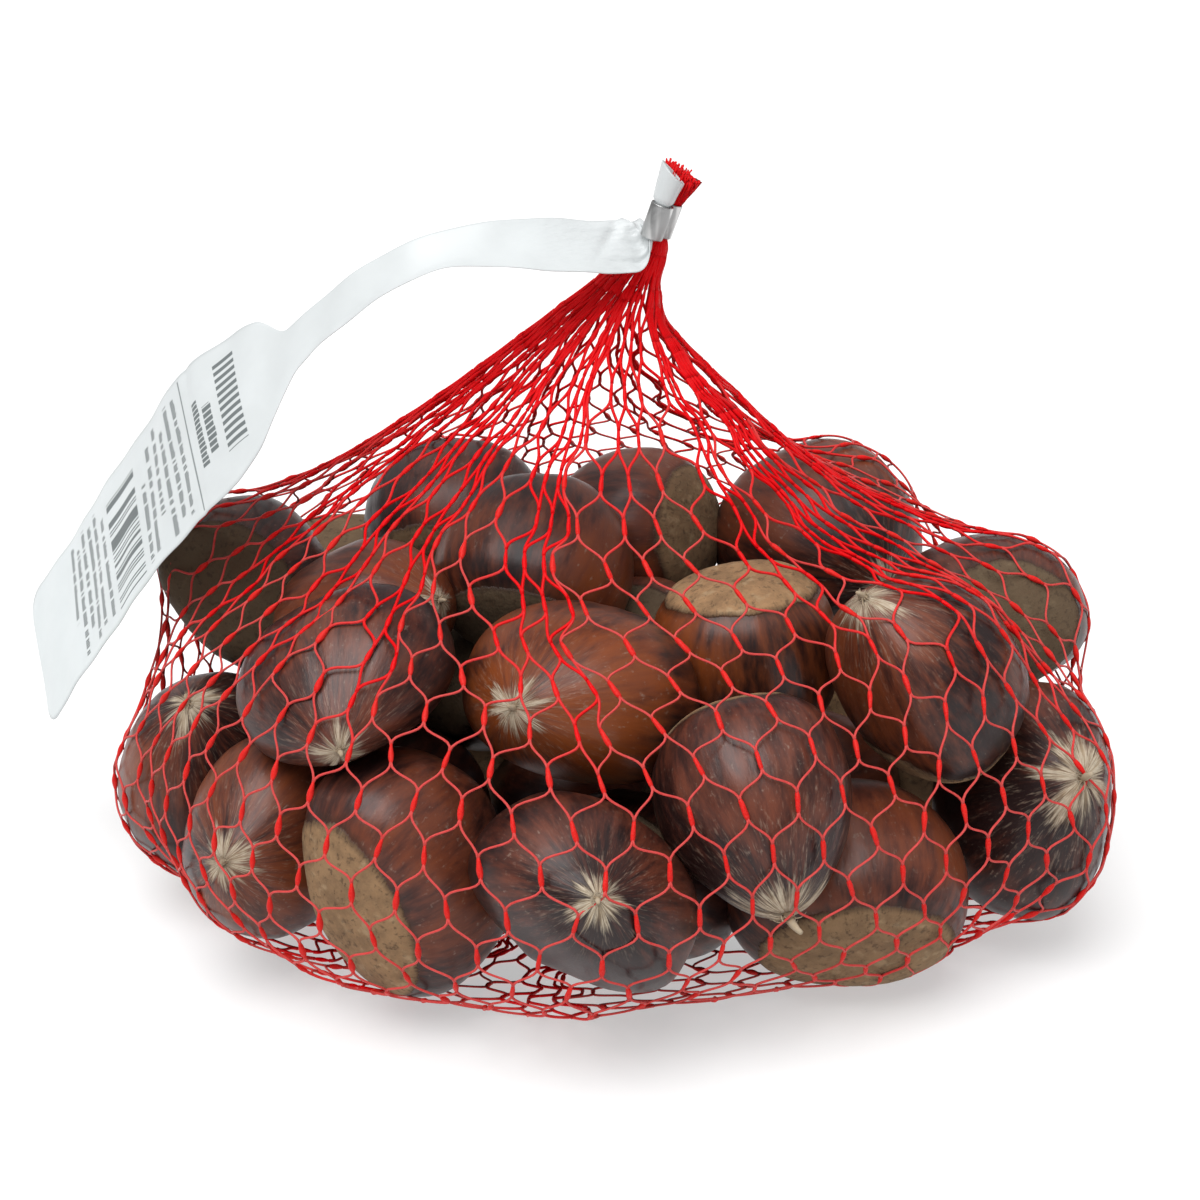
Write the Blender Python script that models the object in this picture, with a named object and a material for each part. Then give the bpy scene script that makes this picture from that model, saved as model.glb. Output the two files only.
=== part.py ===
"""Net bag of fresh chestnuts, closed by a double crimped metal clip that also holds a film label.

The bag stands on the ground at z = 0, its origin under the middle of the heap, and the label hangs
to the left and away from the front. Lengths in the tables are millimetres and are scaled to metres
where a mesh is made.
"""
import math

import bmesh
import bpy
import numpy as np

MM = 0.001

# Chestnuts: name, centre, direction of the pointed tip, turn about it in degrees, width, thickness, height
NUTS = (
    ("back_left", (-26, 41, 48), (0.2, 0.9, 0.35), 0, 33, 27, 32),
    ("upper_middle", (-17, 11, 49), (0.2, 0.8, 0.5), 0, 33, 26, 32),
    ("back_middle", (4, 32, 49), (-0.85, 0.43, -0.28), 0, 31, 27, 30),
    ("back_right", (34, 36, 50), (0.52, -0.85, -0.08), 10, 36, 29, 34),
    ("right_shoulder", (62, 12, 41), (-0.2, 0.91, -0.37), 0, 34, 26, 32),
    ("left_shoulder", (-62.5, 17, 48.5), (0.1, 0.9, -0.3), 50, 32, 26, 33),
    ("left_rear", (-46, 41, 36), (0.0, 0.1, -1.0), 0, 34, 28, 33),
    ("upper_left", (-36, 4, 48), (0.66, -0.51, 0.55), 20, 29, 25, 30),
    ("front_upper_left", (-41, -24, 48.5), (0.0, -0.97, -0.15), -28, 35, 21, 32),
    ("front_upper", (-5, -23, 45), (-0.44, -0.82, 0.37), 0, 38, 28, 34),
    ("upper_right", (21, -6, 46), (0.1, 0.05, -0.99), 0, 31, 26, 31),
    ("front_upper_right", (49, -17, 43), (-0.47, -0.26, 0.84), 0, 31, 28, 34),
    ("front_right", (21, -43, 36.5), (0.25, -0.75, -0.61), 0, 30, 28, 31),
    ("front_left", (-29, -42, 26), (0.6, 0.76, 0.26), 80, 40, 28, 32),
    ("front_middle", (-10, -47, 24), (0.15, -0.86, 0.48), -35, 37, 25, 33),
    ("front_low_right", (31.5, -34, 20), (-0.1, 0.88, 0.45), 0, 38, 28, 33),
    ("right_end", (66, -16, 28), (0.2, -0.8, 0.56), 80, 38, 27, 34),
    ("left_end", (-63, 0, 20.5), (-0.16, -0.48, 0.86), 70, 34, 27, 34),
    ("left_low", (-51, -24, 24), (-0.39, -0.89, 0.22), 80, 34, 26, 33),
    ("low_front", (8, -28, 14), (0.3, 0.5, -0.4), 0, 33, 26, 32),
    ("low_left", (-36, -4, 16), (0.3, 0.9, 0.1), 0, 34, 26, 33),
    ("low_middle", (-5, 2, 16), (-0.8, 0.5, 0.1), 0, 35, 27, 33),
    ("low_right", (33, 0, 17), (0.8, 0.5, 0.1), 0, 34, 27, 33),
    ("low_far_right", (60, 14, 17), (0.3, 0.9, 0.2), 60, 34, 27, 33),
    ("low_rear_left", (-52, 28, 16), (-0.5, 0.8, 0.2), 0, 34, 26, 33),
    ("low_rear", (-24, 30, 16), (0.1, 0.9, 0.1), 0, 34, 27, 33),
    ("low_rear_middle", (10, 32, 16), (0.8, 0.5, 0.3), 0, 34, 27, 33),
    ("low_rear_right", (42, 38, 17), (0.3, 0.9, -0.2), 0, 36, 28, 34),
    ("rear", (-8, 53, 27), (0.2, 0.9, -0.2), 0, 34, 26, 32),
    ("inner", (5, 8, 40), (0.3, 0.5, -0.6), 0, 30, 24, 29),
)
FLAT_SHARE = 0.80                    # of the half thickness, on a chestnut's flatter face
BASE_SHARE = 0.46                    # of the height, below the widest girth
BASE_POWER, TIP_POWER, GIRTH_POWER = 2.7, 1.9, 2.25
TIP_RISE, TIP_REACH = 0.10, 0.30     # the point at the tip: its share of the radius, its spread in radians
NUT_AROUND, NUT_RINGS = 12, 8

# How the heap settles: overlapping chestnuts are pushed apart, and drawn back to their places
SETTLE_ROUNDS, SETTLE_PUSH, SETTLE_PULL = 60, 0.22, 0.08
SETTLE_NEAR, SETTLE_MOST, FLOOR_GAP = 42.0, 6.0, 0.6
VIEW_RISE = math.radians(22.0)       # the heap gives way most along this line of sight

# Core of the bag, bottom to neck: height, half width, half depth, middle in x, middle in y
CORE = (
    (0.0, 42.0, 34.0, 0.0, 1.0),
    (5.0, 57.0, 45.0, 0.0, 2.0),
    (16.0, 68.0, 52.0, 0.0, 3.0),
    (30.0, 69.0, 52.0, 0.0, 3.0),
    (45.0, 62.0, 43.0, 0.0, 3.0),
    (56.0, 51.0, 36.0, 0.0, 3.0),
    (64.0, 44.5, 34.0, -2.0, 4.0),
    (71.0, 41.0, 33.0, -3.0, 4.0),
    (79.0, 32.5, 28.5, -2.5, 3.5),
    (84.0, 24.5, 22.5, 0.0, 3.2),
    (88.0, 18.5, 17.5, 0.5, 3.0),
    (97.0, 12.5, 12.0, 1.5, 2.3),
    (105.0, 7.5, 7.0, 4.0, 1.8),
    (110.5, 2.9, 2.6, 6.3, 1.6),
)
CORE_AROUND, CORE_POWER = 32, 2.3

# Clip: two lobes side by side, the label in the front one and the neck of the net in the rear one
CLIP_MIDDLE = (7.4, 0.0, 117.7)
CLIP_LEAN = math.radians(19.0)       # to the right, off straight up
CLIP_LENGTH, LOBE_RADIUS, BORE_RADIUS = 5.6, 1.85, 1.45
LOBE_OFFSET = (0.75, 1.55)           # from the clip's middle to the rear lobe, in its own x and y
LOBE_SIDES = 28
HELD_RADIUS, CLEAR = 1.15, 0.3       # of what runs through a bore; how far past it that goes on

# Neck of the net under the clip and cut tuft above it: distance up the clip's axis, radius, shift away from
# the label's roll
NECK = ((-8.3, 1.9, 0.0), (-3.7, 1.15, 0.0))
TUFT = ((3.4, 1.2, 0.0), (4.6, 1.6, 0.25), (6.2, 2.1, 0.7), (8.6, 2.7, 1.25))
TUFT_CUT, TUFT_LEAN = 0.8, 0.45      # how much its cut end slopes; how much of the shift is sideways
NECK_SIDES = 16

# Label: a film strip held by its rolled end, with a narrow band and a wide tag
BAND_LENGTH, TAG_LENGTH, TAG_CORNER, FILM = 61.5, 86.0, 4.5, 0.5
# Half widths of the strip above and below its centre line: distance along it, half width
UPPER_HALF = ((0, 2.7), (8, 5.8), (61, 5.8), (62.5, 8.0), (65, 11.4), (69, 12.8), (79, 14.0))
LOWER_HALF = ((0, 2.5), (8, 5.6), (15, 4.8), (22, 3.2), (30, 1.8), (55, 1.4), (60, 2.6), (65, 7.2),
              (70, 11.2), (76, 13.6), (80, 14.0))
BAND_START = (2.2, -3.3, 113.9)      # where the gathered strip has become the flat band
BAND_YAW, BAND_TILT = math.radians(16.0), math.radians(57.0)
# Bend of the strip below the level: distance along it, degrees
BEND = ((0, -9), (12.6, -5), (24.6, 5), (36.6, 36), (46.6, 49), (60.6, 50), (81.6, 53), (86.6, 65),
        (120, 68), (152, 70))
GATHER, GATHER_THICK, GATHER_LOW = 8.0, 0.7, (5.1, -2.1, 112.4)
ROLL = ((8.2, 1.6), (4.6, 1.6), (3.5, 1.3))   # rolled end above the clip: distance up the axis, radius
ROLL_SLOPE = 0.9                     # of its oblique cut
STRIP_SIDES, STRIP_STEP = 12, 3.0


def unit(v):
    v = np.asarray(v, float)
    return v / np.linalg.norm(v)


def make_material(name, colour, roughness, metallic=0.0):
    mat = bpy.data.materials.new(name)
    mat.use_nodes = True
    shader = mat.node_tree.nodes["Principled BSDF"]
    shader.inputs["Base Color"].default_value = (*colour, 1.0)
    shader.inputs["Roughness"].default_value = roughness
    shader.inputs["Metallic"].default_value = metallic
    return mat


def make_object(name, points, faces, mat, collection=None):
    """A mesh object from points in millimetres, with its normals turned outward."""
    mesh = bpy.data.meshes.new(name)
    mesh.from_pydata((np.asarray(points) * MM).tolist(), [], faces)
    bm = bmesh.new()
    bm.from_mesh(mesh)
    bmesh.ops.recalc_face_normals(bm, faces=bm.faces)
    bmesh.ops.triangulate(bm, faces=bm.faces)
    bm.to_mesh(mesh)
    bm.free()
    mesh.materials.append(mat)
    mesh.shade_smooth()
    obj = bpy.data.objects.new(name, mesh)
    (collection or bpy.context.scene.collection).objects.link(obj)
    return obj


def loft(rings):
    """Closed surface over rings of equal length: quads between neighbours, a cap on each end."""
    count = len(rings[0])
    faces = []
    for r in range(len(rings) - 1):
        for k in range(count):
            n = (k + 1) % count
            faces.append((r * count + k, r * count + n, (r + 1) * count + n, (r + 1) * count + k))
    faces.append(tuple(range(count)))
    faces.append(tuple((len(rings) - 1) * count + k for k in range(count)))
    return np.concatenate(rings), faces


# Chestnuts

def nut_axes(tip, turn):
    """Rows: the width, thickness and tip directions. Without a turn the width lies level."""
    tip = unit(tip)
    side = np.cross((0, 0, 1), tip)
    if np.linalg.norm(side) < 0.2:
        side = np.array((1.0, 0, 0)) - tip * tip[0]
    side = unit(side)
    angle = math.radians(turn)
    wide = math.cos(angle) * side + math.sin(angle) * np.cross(tip, side)
    return np.array((wide, np.cross(tip, wide), tip))


def nut_gauge(q, width, thickness, height):
    """How many times the chestnut would have to grow to reach q, in its own axes: under 1 is inside.

    It is a superellipsoid with one face flatter and the base blunter than the tip."""
    half = np.where(q[..., 1] < 0, FLAT_SHARE, 2 - FLAT_SHARE) * thickness / 2
    power = np.where(q[..., 2] < 0, BASE_POWER, TIP_POWER)
    reach = np.where(q[..., 2] < 0, BASE_SHARE, 1 - BASE_SHARE) * height
    girth = np.abs(q[..., 0] * 2 / width) ** GIRTH_POWER + np.abs(q[..., 1] / half) ** GIRTH_POWER
    return (girth ** (power / GIRTH_POWER) + np.abs(q[..., 2] / reach) ** power) ** (1 / power)


def nut_surface(nut, around, rings):
    """Rings of points from base to tip, about the chestnut's own centre: each direction of a polar grid
    is stretched to the surface, with a small rise around the tip."""
    _, _, tip, turn, width, thickness, height = nut
    polar = np.linspace(0, math.pi, rings + 1)[:, None]
    angle = np.linspace(0, 2 * math.pi, around, endpoint=False)[None, :]
    way = np.stack((np.sin(polar) * np.cos(angle), np.sin(polar) * np.sin(angle),
                    -np.cos(polar) + 0 * angle), -1)
    rise = 1 + TIP_RISE * np.exp(-((math.pi - polar) / TIP_REACH) ** 2)
    reach = rise / nut_gauge(way, width, thickness, height)
    return (way * reach[..., None]) @ nut_axes(tip, turn)


def settle(nuts):
    """Centres of the chestnuts after they are pushed apart where they overlap and lifted off the ground."""
    first = np.array([nut[1] for nut in nuts], float)
    place = first.copy()
    frames = [nut_axes(nut[2], nut[3]) for nut in nuts]
    skins = [nut_surface(nut, 14, 8).reshape(-1, 3) for nut in nuts]
    sight = np.array((0, math.cos(VIEW_RISE), -math.sin(VIEW_RISE)))
    for _ in range(SETTLE_ROUNDS):
        shift = np.zeros_like(place)
        for i, skin in enumerate(skins):
            for j, nut in enumerate(nuts):
                if i == j or np.linalg.norm(place[i] - place[j]) > SETTLE_NEAR:
                    continue
                q = (skin + place[i] - place[j]) @ frames[j].T
                gauge = nut_gauge(q, *nut[4:])
                deep = gauge.argmin()
                if gauge[deep] >= 1:
                    continue
                slope = (nut_gauge(q[deep] + 0.5 * np.eye(3), *nut[4:]) - gauge[deep]) / 0.5
                depth = min((1 - gauge[deep]) / max(np.linalg.norm(slope), 1e-6), SETTLE_MOST)
                push = unit(slope @ frames[j]) * depth * SETTLE_PUSH
                shift[i] += push
                shift[j] -= push
        place += shift
        back = first - place
        along = np.outer(back @ sight, sight)
        place += SETTLE_PULL * (back - along) + 0.3 * SETTLE_PULL * along
        for i, skin in enumerate(skins):
            place[i, 2] += max(0.0, FLOOR_GAP - (skin[:, 2] + place[i, 2]).min())
    return place


def nut_object(nut, centre, mat, collection):
    rings = nut_surface(nut, NUT_AROUND, NUT_RINGS) + centre
    points = [rings[0, 0], *rings[1:-1].reshape(-1, 3), rings[-1, 0]]
    last = len(points) - 1
    faces = []
    for k in range(NUT_AROUND):
        n = (k + 1) % NUT_AROUND
        faces.append((0, 1 + n, 1 + k))
        faces.append((last, last - NUT_AROUND + k, last - NUT_AROUND + n))
        for r in range(NUT_RINGS - 2):
            a, b = 1 + r * NUT_AROUND, 1 + (r + 1) * NUT_AROUND
            faces.append((a + k, a + n, b + n, b + k))
    return make_object(nut[0], points, faces, mat, collection)


# Net bag

def clip_frame():
    """Rows: the clip's own x, y and its axis."""
    axis = np.array((math.sin(CLIP_LEAN), 0, math.cos(CLIP_LEAN)))
    return np.array((np.cross((0, 1, 0), axis), (0, 1, 0), axis))


def on_clip(x, y, up):
    return np.array(CLIP_MIDDLE) + np.array((x, y, up)) @ clip_frame()


def oval(centre, half_x, half_y, count, power, across=(1, 0, 0), along=(0, 1, 0)):
    """Superellipse ring, round at power 2 and squarer above."""
    angle = np.linspace(0, 2 * math.pi, count, endpoint=False)
    c, s = np.cos(angle), np.sin(angle)
    reach = (np.abs(c) ** power + np.abs(s) ** power) ** (-1 / power)
    return (np.asarray(centre, float) + np.outer(c * reach * half_x, across)
            + np.outer(s * reach * half_y, along))


def neck_rings():
    """Round rings from inside the core, up through the rear lobe and out into the cut tuft."""
    x, y = LOBE_OFFSET
    frame = clip_frame()
    rings = []
    for up, radius, away in (*NECK, (CLIP_LENGTH / 2 + CLEAR, HELD_RADIUS, 0.0), *TUFT):
        centre = on_clip(x + away * TUFT_LEAN, y + away, up)
        rings.append(oval(centre, radius, radius, NECK_SIDES, 2, frame[0], frame[1]))
    lean = np.cos(np.linspace(0, 2 * math.pi, NECK_SIDES, endpoint=False))
    rings[-1] = rings[-1] + np.outer(lean * TUFT_CUT, frame[2])
    return rings


def build_bag():
    red = make_material("net_red", (0.60, 0.02, 0.02), 0.4)
    brown = make_material("chestnut_brown", (0.08, 0.03, 0.02), 0.35)
    rings = [oval((mx, my, z), hx, hy, CORE_AROUND, CORE_POWER) for z, hx, hy, mx, my in CORE]
    core = make_object("net_bag", *loft(rings), red)
    joined = bpy.data.collections.new("joined")
    bpy.context.scene.collection.children.link(joined)
    for nut, centre in zip(NUTS, settle(NUTS)):
        nut_object(nut, centre, brown, joined)
    make_object("neck", *loft(neck_rings()), red, joined)
    union = core.modifiers.new("fuse", "BOOLEAN")
    union.operation = "UNION"
    union.operand_type = "COLLECTION"
    union.collection = joined
    union.solver = "EXACT"
    fused = bpy.data.meshes.new_from_object(core.evaluated_get(bpy.context.evaluated_depsgraph_get()))
    core.modifiers.clear()
    core.data = fused
    fused.name = "net_bag"
    for obj in list(joined.objects):
        bpy.data.objects.remove(obj)
    bpy.data.collections.remove(joined)
    tidy(fused)
    return core


def tidy(mesh):
    """Merges points closer than a hundredth of a millimetre and splits what is left into triangles."""
    bm = bmesh.new()
    bm.from_mesh(mesh)
    bmesh.ops.remove_doubles(bm, verts=bm.verts, dist=1e-5)
    bmesh.ops.dissolve_degenerate(bm, edges=bm.edges, dist=1e-6)
    bmesh.ops.triangulate(bm, faces=bm.faces)
    bm.to_mesh(mesh)
    bm.free()


# Clip

def tube(name, x, y, radius, length, mat):
    frame = clip_frame()
    rings = [oval(on_clip(x, y, up), radius, radius, LOBE_SIDES, 2, frame[0], frame[1])
             for up in (-length / 2, length / 2)]
    return make_object(name, *loft(rings), mat)


def build_clip():
    metal = make_material("clip_metal", (0.55, 0.55, 0.54), 0.35, 1.0)
    x, y = LOBE_OFFSET
    clip = tube("clip", -x, -y, LOBE_RADIUS, CLIP_LENGTH, metal)
    for name, side, radius, length, kind in (
        ("rear_lobe", 1, LOBE_RADIUS, CLIP_LENGTH, "UNION"),
        ("front_bore", -1, BORE_RADIUS, CLIP_LENGTH + 2, "DIFFERENCE"),
        ("rear_bore", 1, BORE_RADIUS, CLIP_LENGTH + 2, "DIFFERENCE"),
    ):
        cutter = tube(name, side * x, side * y, radius, length, metal)
        cutter.hide_render = True
        cutter.display_type = "WIRE"
        step = clip.modifiers.new(name, "BOOLEAN")
        step.operation = kind
        step.object = cutter
        step.solver = "EXACT"
    return clip


# Label

def band_frame():
    """The level start direction of the band, the way it bends, and the direction across it, towards its
    lower edge."""
    out = np.array((-math.cos(BAND_YAW), -math.sin(BAND_YAW), 0))
    front = np.array((math.sin(BAND_YAW), -math.cos(BAND_YAW), 0))
    across = math.sin(BAND_TILT) * front + math.cos(BAND_TILT) * np.array((0, 0, -1))
    return out, np.cross(across, out), across


def strip_stations():
    """Distances along the strip: even steps, closer at the shoulders and at the rounded end."""
    end = BAND_LENGTH + TAG_LENGTH
    even = np.arange(0, end - TAG_CORNER, STRIP_STEP)
    shoulder = np.array([s for s, _ in UPPER_HALF + LOWER_HALF if BAND_LENGTH - 2 < s < BAND_LENGTH + 20])
    near = np.abs(even[:, None] - shoulder[None, :]).min(1) < STRIP_STEP / 3
    corner = end - TAG_CORNER + TAG_CORNER * np.sin(np.linspace(0, math.pi / 2, 6))
    return np.unique(np.concatenate((even[~near], shoulder, corner)))


def strip_halves(s):
    """Half widths above and below the centre line, rounded in at the free end's corners."""
    into = np.clip(s - (BAND_LENGTH + TAG_LENGTH - TAG_CORNER), 0, TAG_CORNER)
    corner = TAG_CORNER - np.sqrt(TAG_CORNER ** 2 - into ** 2)
    return (np.interp(s, *np.array(UPPER_HALF, float).T) - corner,
            np.interp(s, *np.array(LOWER_HALF, float).T) - corner)


def strip_centre(s):
    """The strip's centre line: its direction turns from the level start by the bend, and is summed up."""
    fine = np.arange(0, BAND_LENGTH + TAG_LENGTH + 0.5, 0.5)
    bend = np.radians(np.interp(fine, *np.array(BEND, float).T))
    out, down, _ = band_frame()
    way = np.outer(np.cos(bend), out) + np.outer(np.sin(bend), down)
    line = np.array(BAND_START) + np.concatenate(([[0, 0, 0]], np.cumsum((way[1:] + way[:-1]) / 4, 0)))
    return np.stack([np.interp(s, fine, line[:, k]) for k in range(3)], -1)


def strip_ring(centre, way, across, width, thickness, flat):
    """Closed ring square to the strip's way: an ellipse where flat is 0, a thin rectangle where it is 1."""
    across = unit(across - way * (across @ way))
    normal = np.cross(way, across)
    angle = (np.arange(STRIP_SIDES) + 0.5) * 2 * math.pi / STRIP_SIDES
    c, s = np.cos(angle), np.sin(angle)
    u = c * ((1 - flat) + flat / math.cos(angle[0]))
    v = (1 - flat) * s + flat * np.sign(s)
    return centre + np.outer(u * width / 2, across) + np.outer(v * thickness / 2, normal)


def gather_rings(end_width):
    """Round rings from the cut top of the roll, down through the front lobe and round to the band."""
    across = band_frame()[2]
    x, y = LOBE_OFFSET
    axis = clip_frame()[2]
    half = CLIP_LENGTH / 2
    rings = []
    for up, radius in (*ROLL, (half + CLEAR, HELD_RADIUS), (0, HELD_RADIUS), (-half - CLEAR, HELD_RADIUS)):
        ring = strip_ring(on_clip(-x, -y, up), -axis, across, 2 * radius, 2 * radius, 0)
        if up == ROLL[0][0]:
            offset = (ring - on_clip(-x, -y, up)) @ clip_frame()[0]
            ring = ring - np.outer(offset * ROLL_SLOPE, axis)
        rings.append(ring)
    start, low, end = on_clip(-x, -y, -half - CLEAR), np.array(GATHER_LOW), np.array(BAND_START)
    for t in np.linspace(0, 1, 7)[1:-1]:
        centre = (1 - t) ** 2 * start + 2 * t * (1 - t) * low + t * t * end
        way = unit((1 - t) * (low - start) + t * (end - low))
        width = 2 * HELD_RADIUS * (1 - t) + end_width * t
        thickness = 2 * HELD_RADIUS * (1 - t) + (FILM + GATHER_THICK) * t
        rings.append(strip_ring(centre, way, across, width, thickness, t * t))
    return rings


def build_label():
    white = make_material("label_white", (0.85, 0.88, 0.88), 0.45)
    s = strip_stations()
    upper, lower = strip_halves(s)
    across = band_frame()[2]
    line = strip_centre(s) + np.outer((lower - upper) / 2, across)
    way = np.gradient(strip_centre(s), s, axis=0)
    width = upper + lower
    thickness = FILM + GATHER_THICK * np.clip(1 - s / GATHER, 0, 1)
    rings = gather_rings(width[0])
    for k in range(len(s)):
        rings.append(strip_ring(line[k], unit(way[k]), across, width[k], thickness[k], 1.0))
    return make_object("label", *loft(rings), white)


def main():
    for obj in list(bpy.data.objects):
        bpy.data.objects.remove(obj)
    build_bag()
    build_clip()
    build_label()


main()
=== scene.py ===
"""Looks of a net bag of fresh chestnuts: the chestnuts, the knitted net, the clip and the film label.

Lengths are millimetres unless a name or comment says otherwise. They are scaled to metres where a mesh is
made.
"""
import functools
import math

import bpy
import numpy as np
from bpy.props import FloatProperty, FloatVectorProperty, IntProperty, PointerProperty
from bpy.types import Operator, Panel, PropertyGroup
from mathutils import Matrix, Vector


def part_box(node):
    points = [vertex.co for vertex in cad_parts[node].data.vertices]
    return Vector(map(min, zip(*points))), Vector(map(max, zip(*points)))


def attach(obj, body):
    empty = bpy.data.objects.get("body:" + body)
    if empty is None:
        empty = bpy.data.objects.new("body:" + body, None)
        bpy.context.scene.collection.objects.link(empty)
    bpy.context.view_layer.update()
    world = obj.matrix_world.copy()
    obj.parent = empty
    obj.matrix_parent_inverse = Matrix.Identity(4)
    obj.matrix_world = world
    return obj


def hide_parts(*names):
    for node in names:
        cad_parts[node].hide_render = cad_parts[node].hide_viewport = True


bl_info = {
    "name": "Net bag of chestnuts",
    "version": (1, 0, 0),
    "blender": (4, 5, 0),
    "location": "3D View > Sidebar > Net bag",
    "description": "Chestnuts in a knitted net, with its metal clip and film label, around the packed solids",
    "category": "Object",
}

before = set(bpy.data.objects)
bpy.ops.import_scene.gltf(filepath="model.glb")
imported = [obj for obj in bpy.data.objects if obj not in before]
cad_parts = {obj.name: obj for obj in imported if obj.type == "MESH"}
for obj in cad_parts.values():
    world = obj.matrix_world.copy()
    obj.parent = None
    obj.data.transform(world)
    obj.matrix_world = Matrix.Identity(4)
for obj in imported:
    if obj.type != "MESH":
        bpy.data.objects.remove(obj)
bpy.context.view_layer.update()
MM = 0.001
BAG_LOW, BAG_HIGH = (np.array(corner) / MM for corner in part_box("net_bag"))
TURN = 2 * math.pi

# Chestnuts: name, centre, direction of the pointed tip, turn about it in degrees, width, thickness, height,
# then the looks: light to dark, how orange, how olive the scar is, size of the tuft
NUTS = (
    ("back_left", (-26, 41, 48), (0.2, 0.9, 0.35), 0, 33, 27, 32, 0.1, 0.1, 0.7, 0.7),
    ("upper_middle", (-17, 11, 49), (0.2, 0.8, 0.5), 0, 33, 26, 32, 0.6, 0.55, 1.0, 0.7),
    ("back_middle", (4, 32, 49), (-0.85, 0.43, -0.28), 0, 31, 27, 30, 0.65, 0.45, 0.6, 0.7),
    ("back_right", (34, 36, 50), (0.52, -0.85, -0.08), 10, 36, 29, 34, 0.3, 0.3, 0.5, 0.8),
    ("right_shoulder", (62, 12, 41), (-0.2, 0.91, -0.37), 0, 34, 26, 32, 0.3, 0.15, 0.95, 0.7),
    ("left_shoulder", (-62.5, 17, 48.5), (0.1, 0.9, -0.3), 50, 32, 26, 33, 0.15, 0.0, 1.0, 0.7),
    ("left_rear", (-46, 41, 36), (0.0, 0.1, -1.0), 0, 34, 28, 33, 0.4, 0.2, 0.8, 0.7),
    ("upper_left", (-36, 4, 48), (0.66, -0.51, 0.55), 20, 29, 25, 30, 0.55, 0.55, 0.3, 0.8),
    ("front_upper_left", (-41, -24, 48.5), (0.0, -0.97, -0.15), 24, 35, 21, 32, 0.22, 0.15, 0.3, 0.9),
    ("front_upper", (-5, -23, 45), (-0.44, -0.82, 0.37), 0, 38, 28, 34, 0.50, 0.75, 0.2, 0.95),
    ("upper_right", (21, -6, 46), (0.1, 0.05, -0.99), 0, 31, 26, 31, 0.35, 0.7, 0.0, 0.7),
    ("front_upper_right", (49, -17, 43), (-0.47, -0.26, 0.84), 0, 31, 28, 34, 0.36, 0.40, 0.3, 1.0),
    ("front_right", (21, -43, 36.5), (0.25, -0.75, -0.61), 0, 30, 28, 31, 0.18, 0.1, 0.3, 1.6),
    ("front_left", (-29, -42, 26), (0.6, 0.76, 0.26), 80, 40, 28, 32, 0.36, 0.35, 0.35, 0.8),
    ("front_middle", (-10, -47, 24), (0.15, -0.86, 0.48), -35, 37, 25, 33, 0.25, 0.15, 0.4, 0.8),
    ("front_low_right", (31.5, -34, 20), (-0.1, 0.88, 0.45), 0, 38, 28, 33, 0.42, 0.40, 0.5, 0.8),
    ("right_end", (66, -16, 28), (0.2, -0.8, 0.56), 80, 38, 27, 34, 0.25, 0.05, 0.5, 1.3),
    ("left_end", (-63, 0, 20.5), (-0.16, -0.48, 0.86), 70, 34, 27, 34, 0.28, 0.30, 0.4, 0.9),
    ("left_low", (-51, -24, 24), (-0.39, -0.89, 0.22), 80, 34, 26, 33, 0.45, 0.50, 0.3, 0.9),
    ("low_front", (8, -28, 14), (0.3, 0.5, -0.4), 0, 33, 26, 32, 0.3, 0.3, 1.0, 0.8),
    ("low_left", (-36, -4, 16), (0.3, 0.9, 0.1), 0, 34, 26, 33, 0.2, 0.2, 1.0, 0.8),
    ("low_middle", (-5, 2, 16), (-0.8, 0.5, 0.1), 0, 35, 27, 33, 0.2, 0.2, 1.0, 0.8),
    ("low_right", (33, 0, 17), (0.8, 0.5, 0.1), 0, 34, 27, 33, 0.3, 0.2, 1.0, 0.8),
    ("low_far_right", (60, 14, 17), (0.3, 0.9, 0.2), 60, 34, 27, 33, 0.4, 0.2, 0.6, 0.9),
    ("low_rear_left", (-52, 28, 16), (-0.5, 0.8, 0.2), 0, 34, 26, 33, 0.5, 0.4, 0.3, 1.0),
    ("low_rear", (-24, 30, 16), (0.1, 0.9, 0.1), 0, 34, 27, 33, 0.6, 0.5, 0.4, 0.9),
    ("low_rear_middle", (10, 32, 16), (0.8, 0.5, 0.3), 0, 34, 27, 33, 0.4, 0.2, 0.5, 1.0),
    ("low_rear_right", (42, 38, 17), (0.3, 0.9, -0.2), 0, 36, 28, 34, 0.5, 0.6, 0.3, 1.1),
    ("rear", (-8, 53, 27), (0.2, 0.9, -0.2), 0, 34, 26, 32, 0.7, 0.6, 0.3, 1.0),
    ("inner", (5, 8, 40), (0.3, 0.5, -0.6), 0, 30, 24, 29, 0.2, 0.1, 1.0, 0.7),
    ("inner_left", (-25, 16, 29), (0.3, 0.5, -0.6), 0, 25, 21, 24, 0.2, 0.1, 1.0, 0.6),
)
FLAT_SHARE, BASE_SHARE = 0.80, 0.46      # shares of the flatter face and of the base in depth and height
BASE_POWER, TIP_POWER, GIRTH_POWER = 2.7, 1.9, 2.25    # how square the base, the tip and the girth are
TIP_RISE, TIP_REACH = 0.10, 0.30         # the rise round the tip as a share, and its reach in radians
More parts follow.
